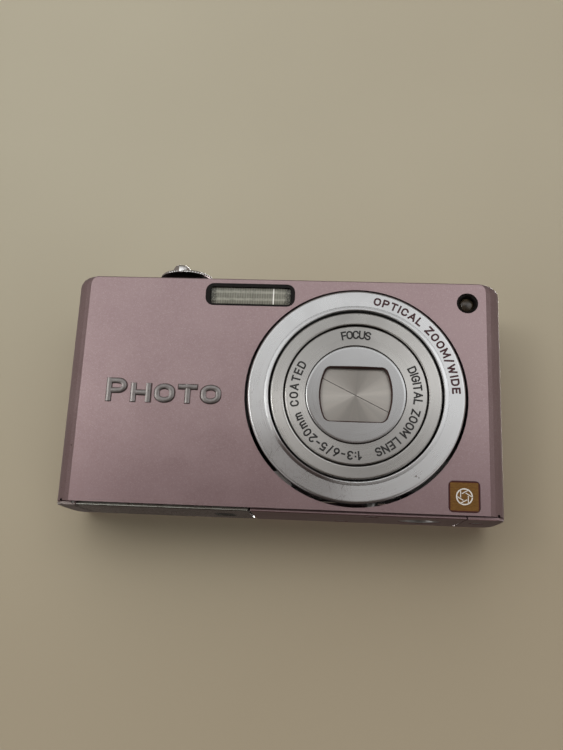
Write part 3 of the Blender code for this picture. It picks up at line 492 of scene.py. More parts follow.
def handling_marks(s, distance, turn, tint, rough, height):
    """Wear low on the left of the ring: hairlines, a rub and a stain at the inner edge; a painted shade lies
    there too.

    Low on the right are two small knocks.
    """
    web = s.node("TexVoronoi", {"Vector": s.vector("MULTIPLY", s.point, (1.0, 0.2, 0.32)), "Scale": 0.75},
                 feature="DISTANCE_TO_EDGE").outputs[0]
    line = s.ramp(web, 0.0, 0.012, 1.0, 0.0)
    place = s.band(turn, -0.40, -0.27, 0.03)
    patch = s.ramp(s.noise(0.5, 2.0, shift=4.0), 0.45, 0.55)
    scratch = s.times(s.times(line, place), patch)
    rub = s.times(s.ramp(s.noise(1.3, 4.0, 0.65), 0.52, 0.72), place)
    knocks = [s.ramp(s.vector("DISTANCE", s.point, (x, -RING_TOP, z)), inner, outer, 1.0, 0.0)
              for x, z, inner, outer in ((28.9, 8.3, 0.12, 0.28), (29.5, 8.0, 0.08, 0.2))]
    knock = s.math("MAXIMUM", *knocks)
    tint = s.mix(s.times(rub, 0.4), tint, RUBBED)
    stain = s.times(s.band(turn, -0.385, -0.315, 0.045), s.band(distance, 19.0, 19.62, 0.12))
    tint = s.mix(s.times(stain, 0.9), tint, STAINED)
    # painted shade low on the left of the ring
    shade = s.band(turn, -0.40, -0.30, 0.06)
    tint = s.mix(s.times(shade, 0.42), tint, RING_PAINTED_SHADE)
    tint = s.mix(s.times(s.math("MAXIMUM", scratch, knock), 0.75), tint, SCRATCHED)
    rough = s.plus(rough, s.times(rub, 0.12))
    height = s.math("SUBTRACT", height, s.times(scratch, 2.5))
    return tint, rough, height


def plain_metal(name, colour, dark, rough, stretch=(1.0, 1.0, 1.0), grain=3.0, depth=0.002, underside_shade=None):
    """Sheet or cast metal with a directional grain and faint stains; underside_shade is a painted shade on
    the camera's flat base.
    """
    s = Shader(name)
    streak = s.noise(grain, 3.0, 0.6, stretch=stretch)
    cloud = s.noise(0.2, 3.0, 0.6, shift=9.0)
    tint = s.mix(s.ramp(streak, 0.3, 0.7), dark, colour)
    tint = s.mix(s.ramp(cloud, 0.4, 0.8, 0.0, 0.3), tint, dark)
    if underside_shade:
        # painted shade on the flat base, deeper towards the right
        base = s.times(s.ramp(s.z, 0.05, 0.15, 1.0, 0.0), s.ramp(s.x, -46.0, -30.0, 0.5, 1.0))
        tint = s.mix(base, tint, underside_shade)
    roughness = s.plus(s.ramp(streak, 0.2, 0.8, rough - 0.05, rough + 0.06),
                       s.ramp(cloud, 0.3, 0.8, 0.0, 0.05))
    return s.finish(tint, roughness, s.bump(streak, depth, 0.5), Metallic=1.0)


def plastic(name, colour, pale, rough, grain=6.0, depth=0.008, **more):
    """Moulded plastic with a fine spark-eroded grain."""
    s = Shader(name)
    fine = s.noise(grain, 3.0, 0.6)
    cloud = s.noise(0.4, 2.0, shift=5.0)
    tint = s.mix(s.ramp(fine, 0.35, 0.75), colour, pale)
    tint = s.mix(s.ramp(cloud, 0.4, 0.8, 0.0, 0.35), tint, pale)
    roughness = s.ramp(fine, 0.2, 0.8, rough - 0.06, rough + 0.08)
    return s.finish(tint, roughness, s.bump(fine, depth, 0.4), **more)


def ink(name, colour, pale):
    """Printed or filled lettering, slightly uneven."""
    s = Shader(name)
    wear = s.noise(4.0, 3.0, 0.6)
    tint = s.mix(s.ramp(wear, 0.45, 0.75), colour, pale)
    return s.finish(tint, s.ramp(wear, 0.2, 0.8, 0.35, 0.5), s.bump(wear, 0.002, 0.3))


def blade_steel(name):
    """Cover blades with a spun finish centred on the lens, with soft wedges of painted light and shade in the
    colour.
    """
    s = Shader(name)
    angle = s.times(s.about()[1], TAU)
    across, up = (s.times(s.math(kind, angle), 2.2) for kind in ("SINE", "COSINE"))
    # painted light and shade: lit and dark wedges round the lens centre
    painted_wedge = s.flat_noise(across, up, 1.3, 3.0)
    fine = s.noise(5.0, 3.0, 0.6)
    tint = s.mix(s.ramp(painted_wedge, 0.35, 0.65), BLADE_GRAIN_AND_PAINTED_SHADE, BLADE_PAINTED_LIT)
    tint = s.mix(s.ramp(fine, 0.3, 0.7, 0.0, 0.2), tint, BLADE_GRAIN_AND_PAINTED_SHADE)
    rough = s.ramp(fine, 0.2, 0.8, 0.34, 0.44)
    return s.finish(tint, rough, s.bump(fine, 0.0008, 0.3), Metallic=1.0, Anisotropic=0.75,
                    Tangent=s.radial_tangent())


def flash_glass(name):
    """Moulded clear window: upright ribs, two paler bands, a bright upright line and dark ends, all in
    painted light and shade.
    """
    s = Shader(name)
    haze = s.noise(1.2, 3.0, 0.6)
    # painted light and shade: stripes along the ribs
    rib = s.math("SINE", s.times(s.x, TAU / RIB_PITCH))
    tint = s.mix(s.ramp(rib, -0.9, 0.9), (0.25, 0.25, 0.205), (0.36, 0.355, 0.30))
    # painted reflections: two paler stripes across the window
    bands = s.plus(s.band(s.z, 48.65, 49.1, 0.15), s.band(s.z, 46.95, 47.35, 0.15), clamp=True)
    tint = s.mix(s.times(bands, 0.6), tint, (0.60, 0.60, 0.52))
    tint = s.mix(s.ramp(haze, 0.4, 0.75, 0.0, 0.35), tint, (0.20, 0.20, 0.165))
    # painted shade at both ends of the window
    off_middle = s.math("ABSOLUTE", s.math("SUBTRACT", s.x, -7.9))
    speck = s.ramp(s.noise(2.6, 3.0, 0.7, shift=3.0), 0.35, 0.6)
    edge = s.times(s.ramp(off_middle, 7.3, 8.5), s.ramp(speck, 0.0, 1.0, 1.0, 0.45))
    tint = s.mix(edge, tint, (0.035, 0.033, 0.026))
    # painted highlight: a bright upright line
    line = s.band(s.x, -2.84, -2.62, 0.06)
    tint = s.mix(line, tint, (0.95, 0.95, 0.90))
    surface = s.surface(tint, s.ramp(haze, 0.2, 0.8, 0.10, 0.18))
    share = s.times(s.ramp(haze, 0.2, 0.8, 0.30, 0.42), s.math("SUBTRACT", 1.0, line))
    return s.part_clear(share, surface, (0.86, 0.88, 0.84))


def smoked_glass(name, colour, pale, clear_share, rough=0.04, tint_through=(0.5, 0.5, 0.5)):
    """Coated glass or clear plastic: part glossy surface, part see-through."""
    s = Shader(name)
    haze = s.noise(0.8, 3.0, 0.6)
    tint = s.mix(s.ramp(haze, 0.35, 0.7), colour, pale)
    roughness = s.ramp(haze, 0.2, 0.8, rough, rough + 0.05)
    return s.part_clear(clear_share, s.surface(tint, roughness, Coat_Weight=0.6, Coat_Roughness=0.03),
                        tint_through)


def display(name):
    """Black display glass: printed border, a slightly paler picture area, faint smears."""
    s = Shader(name)
    inside = s.times(*[s.band(axis, middle - half, middle + half, 0.15)
                       for axis, middle, half in zip((s.x, s.z), DISPLAY_CENTRE, DISPLAY_HALF)])
    smear = s.noise(0.12, 4.0, 0.6, stretch=(1.0, 1.0, 2.2), distort=1.2)
    tint = s.mix(inside, (0.004, 0.004, 0.005), (0.018, 0.019, 0.023))
    tint = s.mix(s.ramp(smear, 0.5, 0.75, 0.0, 0.12), tint, (0.10, 0.10, 0.11))
    rough = s.ramp(smear, 0.4, 0.75, 0.05, 0.16)
    return s.finish(tint, rough, s.bump(smear, 0.01, 0.1), Specular_IOR_Level=0.6, Coat_Weight=0.5,
                    Coat_Roughness=0.04)


def badge_gold(name):
    """Gold-brown badge with a dark red filled border."""
    s = Shader(name)
    fine = s.noise(6.0, 3.0, 0.6, stretch=(0.25, 1.0, 1.0))
    tint = s.mix(s.ramp(fine, 0.3, 0.7), (0.140, 0.064, 0.010), (0.215, 0.105, 0.020))
    arms = [s.math("ABSOLUTE", s.math("SUBTRACT", axis, middle))
            for axis, middle in zip((s.x, s.z), BADGE_CENTRE)]
    rim = s.ramp(s.math("MAXIMUM", *arms), 2.86, 2.94)
    tint = s.mix(rim, tint, (0.07, 0.015, 0.012))
    return s.finish(tint, s.ramp(fine, 0.2, 0.8, 0.34, 0.45), s.bump(fine, 0.003, 0.4), Metallic=0.55)


def circuit(name):
    """Green board with square patches of parts."""
    s = Shader(name)
    cell = s.cells(0.7, "CHEBYCHEV")
    tint = s.mix(s.ramp(cell, 0.55, 0.6), (0.01, 0.09, 0.05), (0.20, 0.17, 0.08))
    tint = s.mix(s.ramp(s.noise(2.0, 3.0), 0.4, 0.7, 0.0, 0.5), tint, (0.015, 0.05, 0.03))
    return s.finish(tint, s.ramp(cell, 0.3, 0.8, 0.3, 0.55), s.bump(cell, 0.05, 0.4))


def printed_label(name, ground, stripe, low, high):
    """A wrap or sticker with one plain stripe across it, between two heights."""
    s = Shader(name)
    fine = s.noise(3.0, 3.0, 0.6)
    tint = s.mix(s.band(s.z, low, high, 0.05), ground, stripe)
    tint = s.mix(s.ramp(fine, 0.4, 0.8, 0.0, 0.2), tint, (0.5, 0.5, 0.5))
    return s.finish(tint, s.ramp(fine, 0.2, 0.8, 0.4, 0.55), s.bump(fine, 0.003, 0.3))


PINK_LIT, PINK_DEEP = (0.380, 0.280, 0.290), (0.340, 0.245, 0.255)
PINK_PALE, PINK_FLAKE = (0.440, 0.340, 0.350), (0.600, 0.500, 0.510)
CHIP, FOOT_GREY = (0.10, 0.07, 0.06), (0.36, 0.36, 0.33)
# painted shade: the paint's flat underside, and its lower part
PINK_UNDERSIDE_SHADE, PINK_LOW_PAINTED_SHADE = (0.19, 0.105, 0.100), (0.22, 0.145, 0.155)
# painted light and shade of the blades' wedges; the darker one also tints their grain
BLADE_PAINTED_LIT, BLADE_GRAIN_AND_PAINTED_SHADE = (0.45, 0.43, 0.40), (0.41, 0.395, 0.37)
RUBBED, STAINED = (0.30, 0.26, 0.24), (0.10, 0.070, 0.068)
# RING_PAINTED_SHADE is painted shade
RING_PAINTED_SHADE, SCRATCHED = (0.20, 0.18, 0.175), (0.12, 0.09, 0.08)
LINE_DEPTH = 0.0002  # of the turned lines
PAINTED_CONE_TURN = 0.4  # turns the painted light and dark sectors of the brushed barrels

PAINT = pink_paint("paint_pink")
RING = turned_metal("ring_satin", (0.68, 0.70, 0.715), (0.64, 0.655, 0.665), 0.27, 0.5, marks=True)
BARREL = turned_metal("barrel_brushed", (0.62, 0.62, 0.605), (0.55, 0.55, 0.535), 0.27, 0.8, painted_cones=True)
CAP = turned_metal("cap_satin", (0.49, 0.50, 0.51), (0.46, 0.47, 0.475), 0.21, 0.15)
LIP = plastic("plastic_red_brown", (0.035, 0.014, 0.012), (0.055, 0.024, 0.020), 0.4, depth=0.002)
BLADES = blade_steel("blade_steel")
CHROME = plain_metal("chrome_polished", (0.84, 0.84, 0.83), (0.78, 0.78, 0.78), 0.12, grain=1.2,
                     depth=0.00005)
LETTER_METAL = plain_metal("letter_chrome", (0.30, 0.285, 0.28), (0.24, 0.225, 0.22), 0.30, grain=1.0)
KEYS = plain_metal("key_satin", (0.60, 0.59, 0.58), (0.50, 0.49, 0.48), 0.32, grain=2.5)
SILVER = plain_metal("silver_satin", (0.74, 0.74, 0.72), (0.60, 0.60, 0.58), 0.30)
# the door's last colour is a painted shade on its flat base
DOOR = plain_metal("door_silver", (0.50, 0.52, 0.48), (0.45, 0.465, 0.43), 0.26, stretch=(0.15, 1.0, 1.0),
                   depth=0.0005, underside_shade=(0.11, 0.10, 0.085))
STEEL = plain_metal("steel_sheet", (0.55, 0.55, 0.54), (0.40, 0.40, 0.40), 0.38, stretch=(0.2, 1.0, 1.0))
BLACK = plastic("plastic_black", (0.012, 0.012, 0.013), (0.030, 0.030, 0.031), 0.42)
GLOSS_BLACK = plastic("plastic_gloss_black", (0.005, 0.004, 0.0035), (0.010, 0.008, 0.007), 0.25,
                      depth=0.002, Specular_IOR_Level=0.14)
TROUGH = plain_metal("trough_polished", (0.80, 0.82, 0.76), (0.62, 0.64, 0.58), 0.16, grain=2.0)
FLASH_GLASS = flash_glass("flash_window")
LENS_GLASS = smoked_glass("lens_coated", (0.020, 0.012, 0.040), (0.05, 0.03, 0.08), 0.35)
TUBE_GLASS = smoked_glass("tube_frosted", (0.75, 0.76, 0.74), (0.85, 0.86, 0.84), 0.3, 0.2, (0.9, 0.9, 0.9))
LAMP = smoked_glass("lamp_dome", (0.030, 0.024, 0.016), (0.075, 0.055, 0.035), 0.30, 0.10, (0.45, 0.36, 0.24))
DISPLAY = display("display_glass")
BADGE = badge_gold("badge_gold")
# painted shadow: the dark outline round the front word's letters
LETTER_PAINTED_SHADOW = ink("letter_painted_shadow", (0.085, 0.045, 0.045), (0.12, 0.07, 0.07))
RED_INK = ink("ink_dark_red", (0.048, 0.004, 0.008), (0.070, 0.010, 0.014))
BLACK_INK = ink("ink_black", (0.008, 0.008, 0.008), (0.03, 0.03, 0.03))
WHITE_INK = ink("ink_white", (0.74, 0.72, 0.67), (0.62, 0.60, 0.55))
GREY_INK = ink("ink_grey", (0.10, 0.10, 0.10), (0.16, 0.16, 0.16))
BOARD = circuit("circuit_board")
CELL = printed_label("cell_label", (0.03, 0.03, 0.035), (0.30, 0.30, 0.31), 20.0, 24.0)
CARD = printed_label("card_label", (0.02, 0.06, 0.22), (0.45, 0.46, 0.48), 30.0, 33.0)

SLOT_LOOKS = {
    "pink_paint": PAINT, "satin_silver": SILVER, "brushed_silver": BARREL, "blade_metal": BLADES,
    "chrome": CHROME, "door_silver": DOOR, "black_plastic": BLACK, "clear_glass": TUBE_GLASS,
    "lens_glass": LENS_GLASS, "lamp_lens": LAMP, "display_glass": DISPLAY, "gold_plate": BADGE,
    "sheet_steel": STEEL, "circuit_board": BOARD, "battery_label": CELL, "card_blue": CARD,
}
NODE_LOOKS = {"flash_bezel": GLOSS_BLACK, "flash_reflector": TROUGH}
NODE_LOOKS.update({name: KEYS for name in ("key_up", "key_down", "key_left", "key_right", "menu_set_button",
                                           "display_button", "delete_button")})


def dress_nodes():
    """Every node of the model gets a node material, by its own name or else by its slot's."""
    for name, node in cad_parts.items():
        for slot in node.material_slots:
            slot.material = NODE_LOOKS.get(name, SLOT_LOOKS.get(slot.material.name.split(".")[0], SILVER))


dress_nodes()


# ---------- lens
def with_grooves(inner, outer, face, count, depth):
    """Profile points from the inner to the outer radius of a face, with shallow turned grooves."""
    points = []
    pitch = (outer - inner) / count
    for i in range(count):
        start = inner + i * pitch
        points += [(start, face), (start + 0.35 * pitch, face), (start + 0.6 * pitch, face - depth)]
    return points + [(outer, face)]


def side_grooves(radius, *edges):
    """Profile points of shallow grooves round a barrel, each starting at an edge's height."""
    return [(radius - inset, edge - drop) for edge in edges
            for inset, drop in ((0.0, 0.0), (0.07, 0.06), (0.07, 0.22), (0.0, 0.28))]


def lens_pieces():
    """Ring, two barrels, and the cover with its opening, as turned shapes: (radius, height) points."""
    top = RING_TOP
    ring = [(18.85, 9.7), (18.85, top - 0.12), (18.88, top - 0.02), (18.95, top + 0.05), (19.05, top + 0.08),
            (19.15, top + 0.08), (19.70, top - 0.02), (19.73, top - 0.10), (19.82, top - 0.10), (19.85, top)]
    ring += [(20.4 + 0.6 * i, top) for i in range(5)]
    ring += [(23.00, top), (23.13, top - 0.03), (23.24, top - 0.09), (23.33, top - 0.19), (23.38, top - 0.33),
             (23.40, top - 0.50), (23.40, 9.7)]
    piece("lens_ring_bezel", turned(ring), RING, "root", ["lens_ring"], sharp=25.0)

    top = OUTER_TOP
    sleeve = [(15.65, 11.4), (15.65, top - 0.16), (15.75, top - 0.03), (15.85, top)]
    sleeve += with_grooves(16.0, 17.95, top, 6, 0.003)
    sleeve += [(18.10, top), (18.25, top - 0.04), (18.38, top - 0.14), (18.45, top - 0.30)]
    sleeve += side_grooves(18.45, 9.4, 8.8, 0.6, 0.0)
    sleeve += [(18.45, -3.2), (17.30, -3.2), (17.30, 11.4)]
    piece("lens_barrel_outer", turned(sleeve), BARREL, "barrel_outer", ["barrel_outer"],
          sharp=25.0)

    top = INNER_TOP
    sleeve = [(10.90, 11.1), (10.90, top - 0.08), (10.97, top)]
    sleeve += with_grooves(11.1, 12.2, top, 3, 0.003)
    sleeve += [(13.3, top), (14.4, top)]
    sleeve += with_grooves(14.5, 15.0, top, 2, 0.003)
    sleeve += [(15.10, top), (15.22, top - 0.05), (15.31, top - 0.14), (15.35, top - 0.26)]
    sleeve += side_grooves(15.35, 8.6, 8.0)
    sleeve += [(15.35, -2.4), (14.90, -2.4), (14.90, 11.1)]
    piece("lens_barrel_inner", turned(sleeve), BARREL, "barrel_inner", ["barrel_inner"],
          sharp=25.0)

    opening = bowed_box_reach(7.6, 5.88, 0.9, 13.5)
    count = 360

    def cap(bm):
        """Flat cover from its round edge to the opening."""
        loops = [outline(radius, height, count=count)
                 for radius, height in ((10.74, 11.1), (10.72, 11.94), (10.55, top), (10.2, top))]
        loops += [outline(opening, height, count=count, spread=spread)
                  for spread, height in ((0.55, top), (0.34, top), (0.31, 11.96), (0.31, 11.1))]
        bridge(bm, loops, wrap=True)
    piece("lens_cover_frame", cap, CAP, "barrel_inner", ["barrel_cap"], sharp=25.0)

    def lip(bm):
        """Dark bevelled edge set into the cover's opening."""
        steps = ((0.30, 11.1), (0.30, 11.95), (0.24, 11.95), (0.06, 11.70), (0.0, 11.6), (0.0, 11.1))
        bridge(bm, [outline(opening, height, count=count, spread=spread) for spread, height in steps],
               wrap=True)
    piece("lens_cover_lip", lip, LIP, "barrel_inner", sharp=25.0)


def lens_lettering():
    build = arc_text("OPTICAL ZOOM/WIDE", 20.45, 9.5, 88.5, 1.85, RING_TOP, 0.40, stretch=0.92)
    piece("ring_lettering", build, RED_INK)
    words = {"top": ("FOCUS", -15.0, 13.5), "right": ("DIGITAL ZOOM LENS", 61.5, 161.0),
             "left": ("1:3-6/5-20mm COATED", 173.5, 301.0)}
    for place, (text, start, end) in words.items():
        build = arc_text(text, 12.36, start, end, 1.95, INNER_TOP, 0.36, stretch=0.78)
        piece("barrel_word_" + place, build, BLACK_INK, "barrel_inner")


# ---------- front
def front_pieces():
    def word(grow, stroke, depth, bevel):
        """The front word with a large initial; grow widens it all round."""
        parts = (("P", (-36.3, 25.25), 4.4, 5.2, 1.0), ("HOTO", (-23.1, 24.75), 19.9, 4.2, 1.08))
        return several(*[line_text(text, centre, length + grow, height + grow, FRONT, stroke, depth=depth,
                                   bevel=bevel, stretch=stretch)
                         for text, centre, length, height, stretch in parts])
    piece("front_word", word(0.0, 1.12, 0.35, 0.16), LETTER_METAL, "root", ["nameplate"],
          sharp=30.0)
    # painted shadow: a dark outline round the letters, standing for their shaded sides
    piece("front_word_painted_shadow", word(0.22, 1.34, 0.03, 0.0), LETTER_PAINTED_SHADOW)

    def window(bm):
        """Clear window with upright ribs moulded behind it."""
        columns, rows = 160, 8
        half_w, half_h, middle_x, middle_z = 8.98, 1.91, -7.85, 47.9
        heights = [2 * j / rows - 1 for j in range(rows + 1)]
        loops = []
        for i in range(columns + 1):
            x = -half_w + 2 * half_w * i / columns
            rib = 0.07 * abs(math.sin(math.pi * (x + half_w) / RIB_PITCH))
            front = [(middle_x + x, -10.5 - 0.05 * (1 - h ** 4), middle_z + half_h * h) for h in heights]
            back = [(middle_x + x, -9.95 - rib, middle_z + half_h * h) for h in heights]
            loops.append(front + back[::-1])
        bridge(bm, loops, cap=True)
    piece("flash_window_ribbed", window, FLASH_GLASS, "root", ["flash_window"], sharp=30.0)

    lamp_rim = [(1.62, 9.6), (1.62, 10.35), (1.70, 10.62), (1.86, 10.88), (2.02, 10.96), (2.16, 10.92),
                (2.26, 10.78), (2.28, 10.6), (2.28, 9.6)]
    piece("af_lamp_rim", turned(lamp_rim, LAMP_CENTRE, segments=96), GLOSS_BLACK)
    dome = [(0.0005, 10.22), (0.35, 10.21), (0.75, 10.16), (1.15, 10.07), (1.42, 9.96), (1.58, 9.8),
            (1.58, 9.4), (0.0005, 9.4)]
    piece("af_lamp_dome", turned(dome, LAMP_CENTRE, segments=72, wrap=False), LAMP, "root",
          ["af_lamp_lens"], sharp=50.0)

    iris = [ring_strip(*BADGE_CENTRE, 1.75, 0.26, 0.0, TAU * 0.985, 64)]
    iris += [blade_stroke(*BADGE_CENTRE, k) for k in range(6)]
    piece("badge_mark", several(*[slab(shape, FRONT, FRONT - 0.05) for shape in iris]), WHITE_INK)


def blade_stroke(cx, cz, k):
    """One of the six strokes of a plain iris pictogram."""
    start = TAU * k / 6
    a = (cx + 1.55 * math.cos(start), cz + 1.55 * math.sin(start))
    b = (cx + 0.82 * math.cos(start + 1.25), cz + 0.82 * math.sin(start + 1.25))
    dx, dz = b[0] - a[0], b[1] - a[1]
    long = math.hypot(dx, dz)
    nx, nz = -dz / long * 0.09, dx / long * 0.09
    return [(a[0] + nx, a[1] + nz), (b[0] + nx, b[1] + nz), (b[0] - nx, b[1] - nz), (a[0] - nx, a[1] - nz)]


# ---------- top controls
def top_pieces():
    rim = [(3.5, 54.25), (3.5, 54.80), (3.6, 54.87), (4.2, 54.87), (5.0, 54.93), (5.7, 54.92), (6.05, 54.84),
           (6.24, 54.70), (6.30, 54.58), (6.30, 54.36), (6.22, 54.25)]
    build = turned(rim, (LEVER[0] + 0.3, LEVER[1]), "z", 360, wave=(knurl(60, 0.07), 7, 9))
    piece("zoom_lever_ring", build, CHROME, "zoom_lever", ["zoom_lever"], sharp=30.0)
    # painted shade: the cup is black where the gap beneath the lever ring lies in shade
    cup = [(3.2, 51.95), (3.2, 54.24), (6.1, 54.24), (6.0, 54.10), (5.4, 53.95), (4.75, 53.5), (4.5, 52.9),
           (4.45, 51.95)]
    piece("zoom_lever_shade_cup", turned(cup, LEVER, "z", 128), GLOSS_BLACK, "zoom_lever")

    def tab(bm):
        """Finger tab at the front of the lever, its face cut to five flats."""
        corners = [(-1.0, 1.5), (-0.62, 0.45), (-0.2, 0.0), (0.18, 0.06), (0.6, 0.42), (1.0, 1.5)]
        middle, half, back, foot, edge, stations = -24.6, 2.15, -6.1, 54.2, 54.32, 66
        loops = []
        for i in range(stations + 1):
            u = -1 + 2 * i / stations
            (u0, y0), (u1, y1) = next(pair for pair in zip(corners, corners[1:]) if u <= pair[1][0])
            front = -8.72 + y0 + (y1 - y0) * (u - u0) / (u1 - u0)
            crown = (1 - abs(u) ** 3.2) ** (1 / 2.2)
            top = 54.45 + 1.5 * crown
            x = middle + half * u
            loops.append([(x, back, foot), (x, front + 0.12, foot), (x, front, edge),
                          (x, front, edge + 0.7 * (top - edge)), (x, front + 0.1, top - 0.12 * crown),
                          (x, front + 0.32, top), (x, back - 0.5, top), (x, back, top - 0.35 * crown)])
        bridge(bm, loops, cap=True)
    piece("zoom_lever_tab", tab, CHROME, "zoom_lever", sharp=28.0)

    button = [(0.001, 55.35), (0.8, 55.36), (1.7, 55.39), (2.5, 55.45), (3.0, 55.50), (3.22, 55.48),
              (3.36, 55.38), (3.4, 55.22), (3.4, 54.15), (1.3, 54.15), (1.3, 49.8), (0.001, 49.8)]
    piece("shutter_button_cap", turned(button, LEVER, "z", 128, wrap=False), CHROME, "shutter_button",
          ["shutter_button"])

    dial_top = 52.5
    dial = [(0.001, 49.4), (6.2, 49.4), (6.5, 49.7), (6.6, 50.0), (6.6, 52.2), (6.5, 52.45), (6.3, 52.55),
            (6.0, 52.6), (5.7, 52.52), (5.6, dial_top), (0.001, dial_top)]
    build = turned(dial, DIAL, "z", 336, wave=(knurl(48, 0.09), 3, 4), wrap=False)
    piece("mode_dial_knurled", build, SILVER, "mode_dial", ["mode_dial"], sharp=30.0)
    icons = []
    for k in range(7):
        angle = TAU * k / 7 + 0.3
        cx, cy = DIAL[0] + 4.2 * math.cos(angle), DIAL[1] + 4.2 * math.sin(angle)
        if k % 3 == 0:
            icons.append(polygon(cx, cy, 0.62, 3, angle))
        elif k % 3 == 1:
            icons.append(ring_strip(cx, cy, 0.6, 0.16, angle, TAU * 0.97, 24))
        else:
            icons.append(polygon(cx, cy, 0.66, 4, angle + TAU / 8))
    piece("mode_dial_icons", printed(icons, dial_top, "z"), BLACK_INK, "mode_dial")
    pointer = polygon(DIAL[0] + 7.9, DIAL[1], 0.5, 3, math.pi)
    piece("mode_dial_pointer", printed([pointer], HEIGHT, "z"), WHITE_INK)
    words = [line_text(text, (x, -1.6), length, 0.95, HEIGHT, 0.15, "top")
             for text, x, length in (("OFF", -13.9, 2.3), ("ON", -3.7, 1.6))]
    piece("power_words", several(*words), WHITE_INK)


# ---------- back
def back_pieces():
    keys = {"key_up": (0, 1), "key_down": (0, -1), "key_left": (-1, 0), "key_right": (1, 0)}
    for body, (dx, dz) in keys.items():
        arrow = polygon(PAD[0] + 6.1 * dx, PAD[1] + 6.1 * dz, 0.85, 3, math.atan2(dz, dx))
        piece(body + "_arrow", printed([arrow], KEY_FACE), GREY_INK, body)
    words = [line_text(text, (PAD[0], PAD[1] + rise), length, 0.9, MENU_FACE, 0.14, "back")
             for text, rise, length in (("MENU", 0.75, 3.5), ("SET", -0.75, 2.4))]
    piece("menu_set_words", several(*words), GREY_INK, "menu_set_button")

    def at(cx, cz, *points):
        return [(cx + x, cz + z) for x, z in points]
    flash = at(PAD[0] + 10.2, PAD[1], (0.15, 0.9), (-0.5, -0.1), (-0.05, -0.1), (-0.2, -0.9), (0.5, 0.2),
               (0.05, 0.2))
    timer = ring_strip(PAD[0] - 10.2, PAD[1], 0.85, 0.18, 0.4, TAU * 0.97, 32)
    screen = at(-33.2, 13.0, (-1.0, -0.6), (1.0, -0.6), (1.0, 0.6), (-1.0, 0.6))
    basket = at(-21.6, 13.0, (-0.5, -0.8), (0.5, -0.8), (0.65, 0.6), (-0.65, 0.6))
    dash = at(PAD[0], PAD[1] + 10.4, (-0.8, -0.12), (0.8, -0.12), (0.8, 0.12), (-0.8, 0.12))
    piece("back_icons", printed([flash, timer, screen, basket, dash], BACK), WHITE_INK)


# ---------- fasteners and underside
def screw_head(name, node, axis, sign):
    """A domed crosshead screw in the place of the model's plain one."""
    low, high = (Vector(c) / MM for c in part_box(node))
    across = (1, 2) if axis == 0 else (0, 1)
    middle = [(low[i] + high[i]) / 2 for i in across]
    radius = min(high[i] - low[i] for i in across) / 2
    face, root = (high[axis], low[axis]) if sign > 0 else (low[axis], high[axis])

    def cross(angle):
        """Distance from the middle to the edge of the driver's cross."""
        c, s = abs(math.cos(angle)), abs(math.sin(angle))
        return min(radius * 0.62 / max(c, s), radius * 0.13 / max(min(c, s), 1e-6))

    def build(bm):
        steps = [(0.002, root), (radius, root), (radius, face - sign * 0.12),
                 (radius * 0.93, face - sign * 0.03), (radius * 0.8, face),
                 (lambda angle: max(cross(angle), radius * 0.1), face),
                 (lambda angle: cross(angle) * 0.8, face - sign * 0.3), (0.002, face - sign * 0.42)]
        loops = [outline(reach, height, middle, "z", 64) for reach, height in steps]
        if axis == 0:
            loops = [[(height, u, v) for u, v, height in loop] for loop in loops]
        bridge(bm, loops, cap=True)
    piece(name, build, STEEL, "root", [node], sharp=30.0)


def underside_pieces():
    for node, axis, sign in (("plate_screw_rear", 2, -1), ("plate_screw_front", 2, -1), ("foot_screw", 2, -1),
                             ("side_screw_right", 0, 1), ("side_screw_left", 0, -1)):
        screw_head(node + "_crosshead", node, axis, sign)

    def thread(bm):
        """Helical ridge of the tripod thread."""
        pitch, per_turn, start = 1.27, 48, 0.5
        outer, inner = 3.17, 2.62
        steps = int(3.4 * per_turn)
        loops = []
        for i in range(steps + 1):
            angle = TAU * i / per_turn
            fade = min(1.0, i / 10, (steps - i) / 10)
            tip = outer - max(fade, 0.05) * (outer - inner)
            loops.append([(TRIPOD[0] + r * math.cos(angle), TRIPOD[1] + r * math.sin(angle),
                           start + pitch * i / per_turn + rise)
                          for r, rise in ((outer, -0.45), (tip, -0.07), (tip, 0.07), (outer, 0.45))])
        bridge(bm, loops, cap=True)
    piece("tripod_thread", thread, STEEL, sharp=30.0)


# ---------- stage, light and camera
def one_sided(name, colour, pale, per_mm=0.02, painted_shade_tint=None):
    """Pale matt surface, not there when seen from behind; painted_shade_tint is its painted shade low down
    and to the right.
    """
    s = Shader(name)
    cloud = s.noise(per_mm, 3.0, 0.5)
    fine = s.noise(0.6, 2.0, 0.5)
    tint = s.mix(s.ramp(cloud, 0.3, 0.7), colour, pale)
    tint = s.mix(s.ramp(fine, 0.3, 0.7, 0.0, 0.08), tint, pale)
    # painted shade: the surface darkens low down and to the right, as the light falls off
    if painted_shade_tint:
        low = s.ramp(s.z, -50.0, 100.0, 0.9, 0.0)
        right = s.ramp(s.x, -60.0, 70.0, 0.0, 0.28)
        tint = s.mix(s.plus(low, right, clamp=True), tint, painted_shade_tint)
    behind = s.node("NewGeometry").outputs["Backfacing"]
    return s.part_clear(behind, s.surface(tint, 0.75, Specular_IOR_Level=0.2))


def sheet(name, corners, material):
    """A large flat face that only the camera sees."""
    mesh = bpy.data.meshes.new(name)
    mesh.from_pydata([tuple(c * MM for c in p) for p in corners], [], [(0, 1, 2, 3)])
    mesh.materials.append(material)
    obj = bpy.data.objects.new(name, mesh)
    bpy.context.scene.collection.objects.link(obj)
    for rays in ("diffuse", "glossy", "transmission", "shadow"):
        setattr(obj, "visible_" + rays, False)


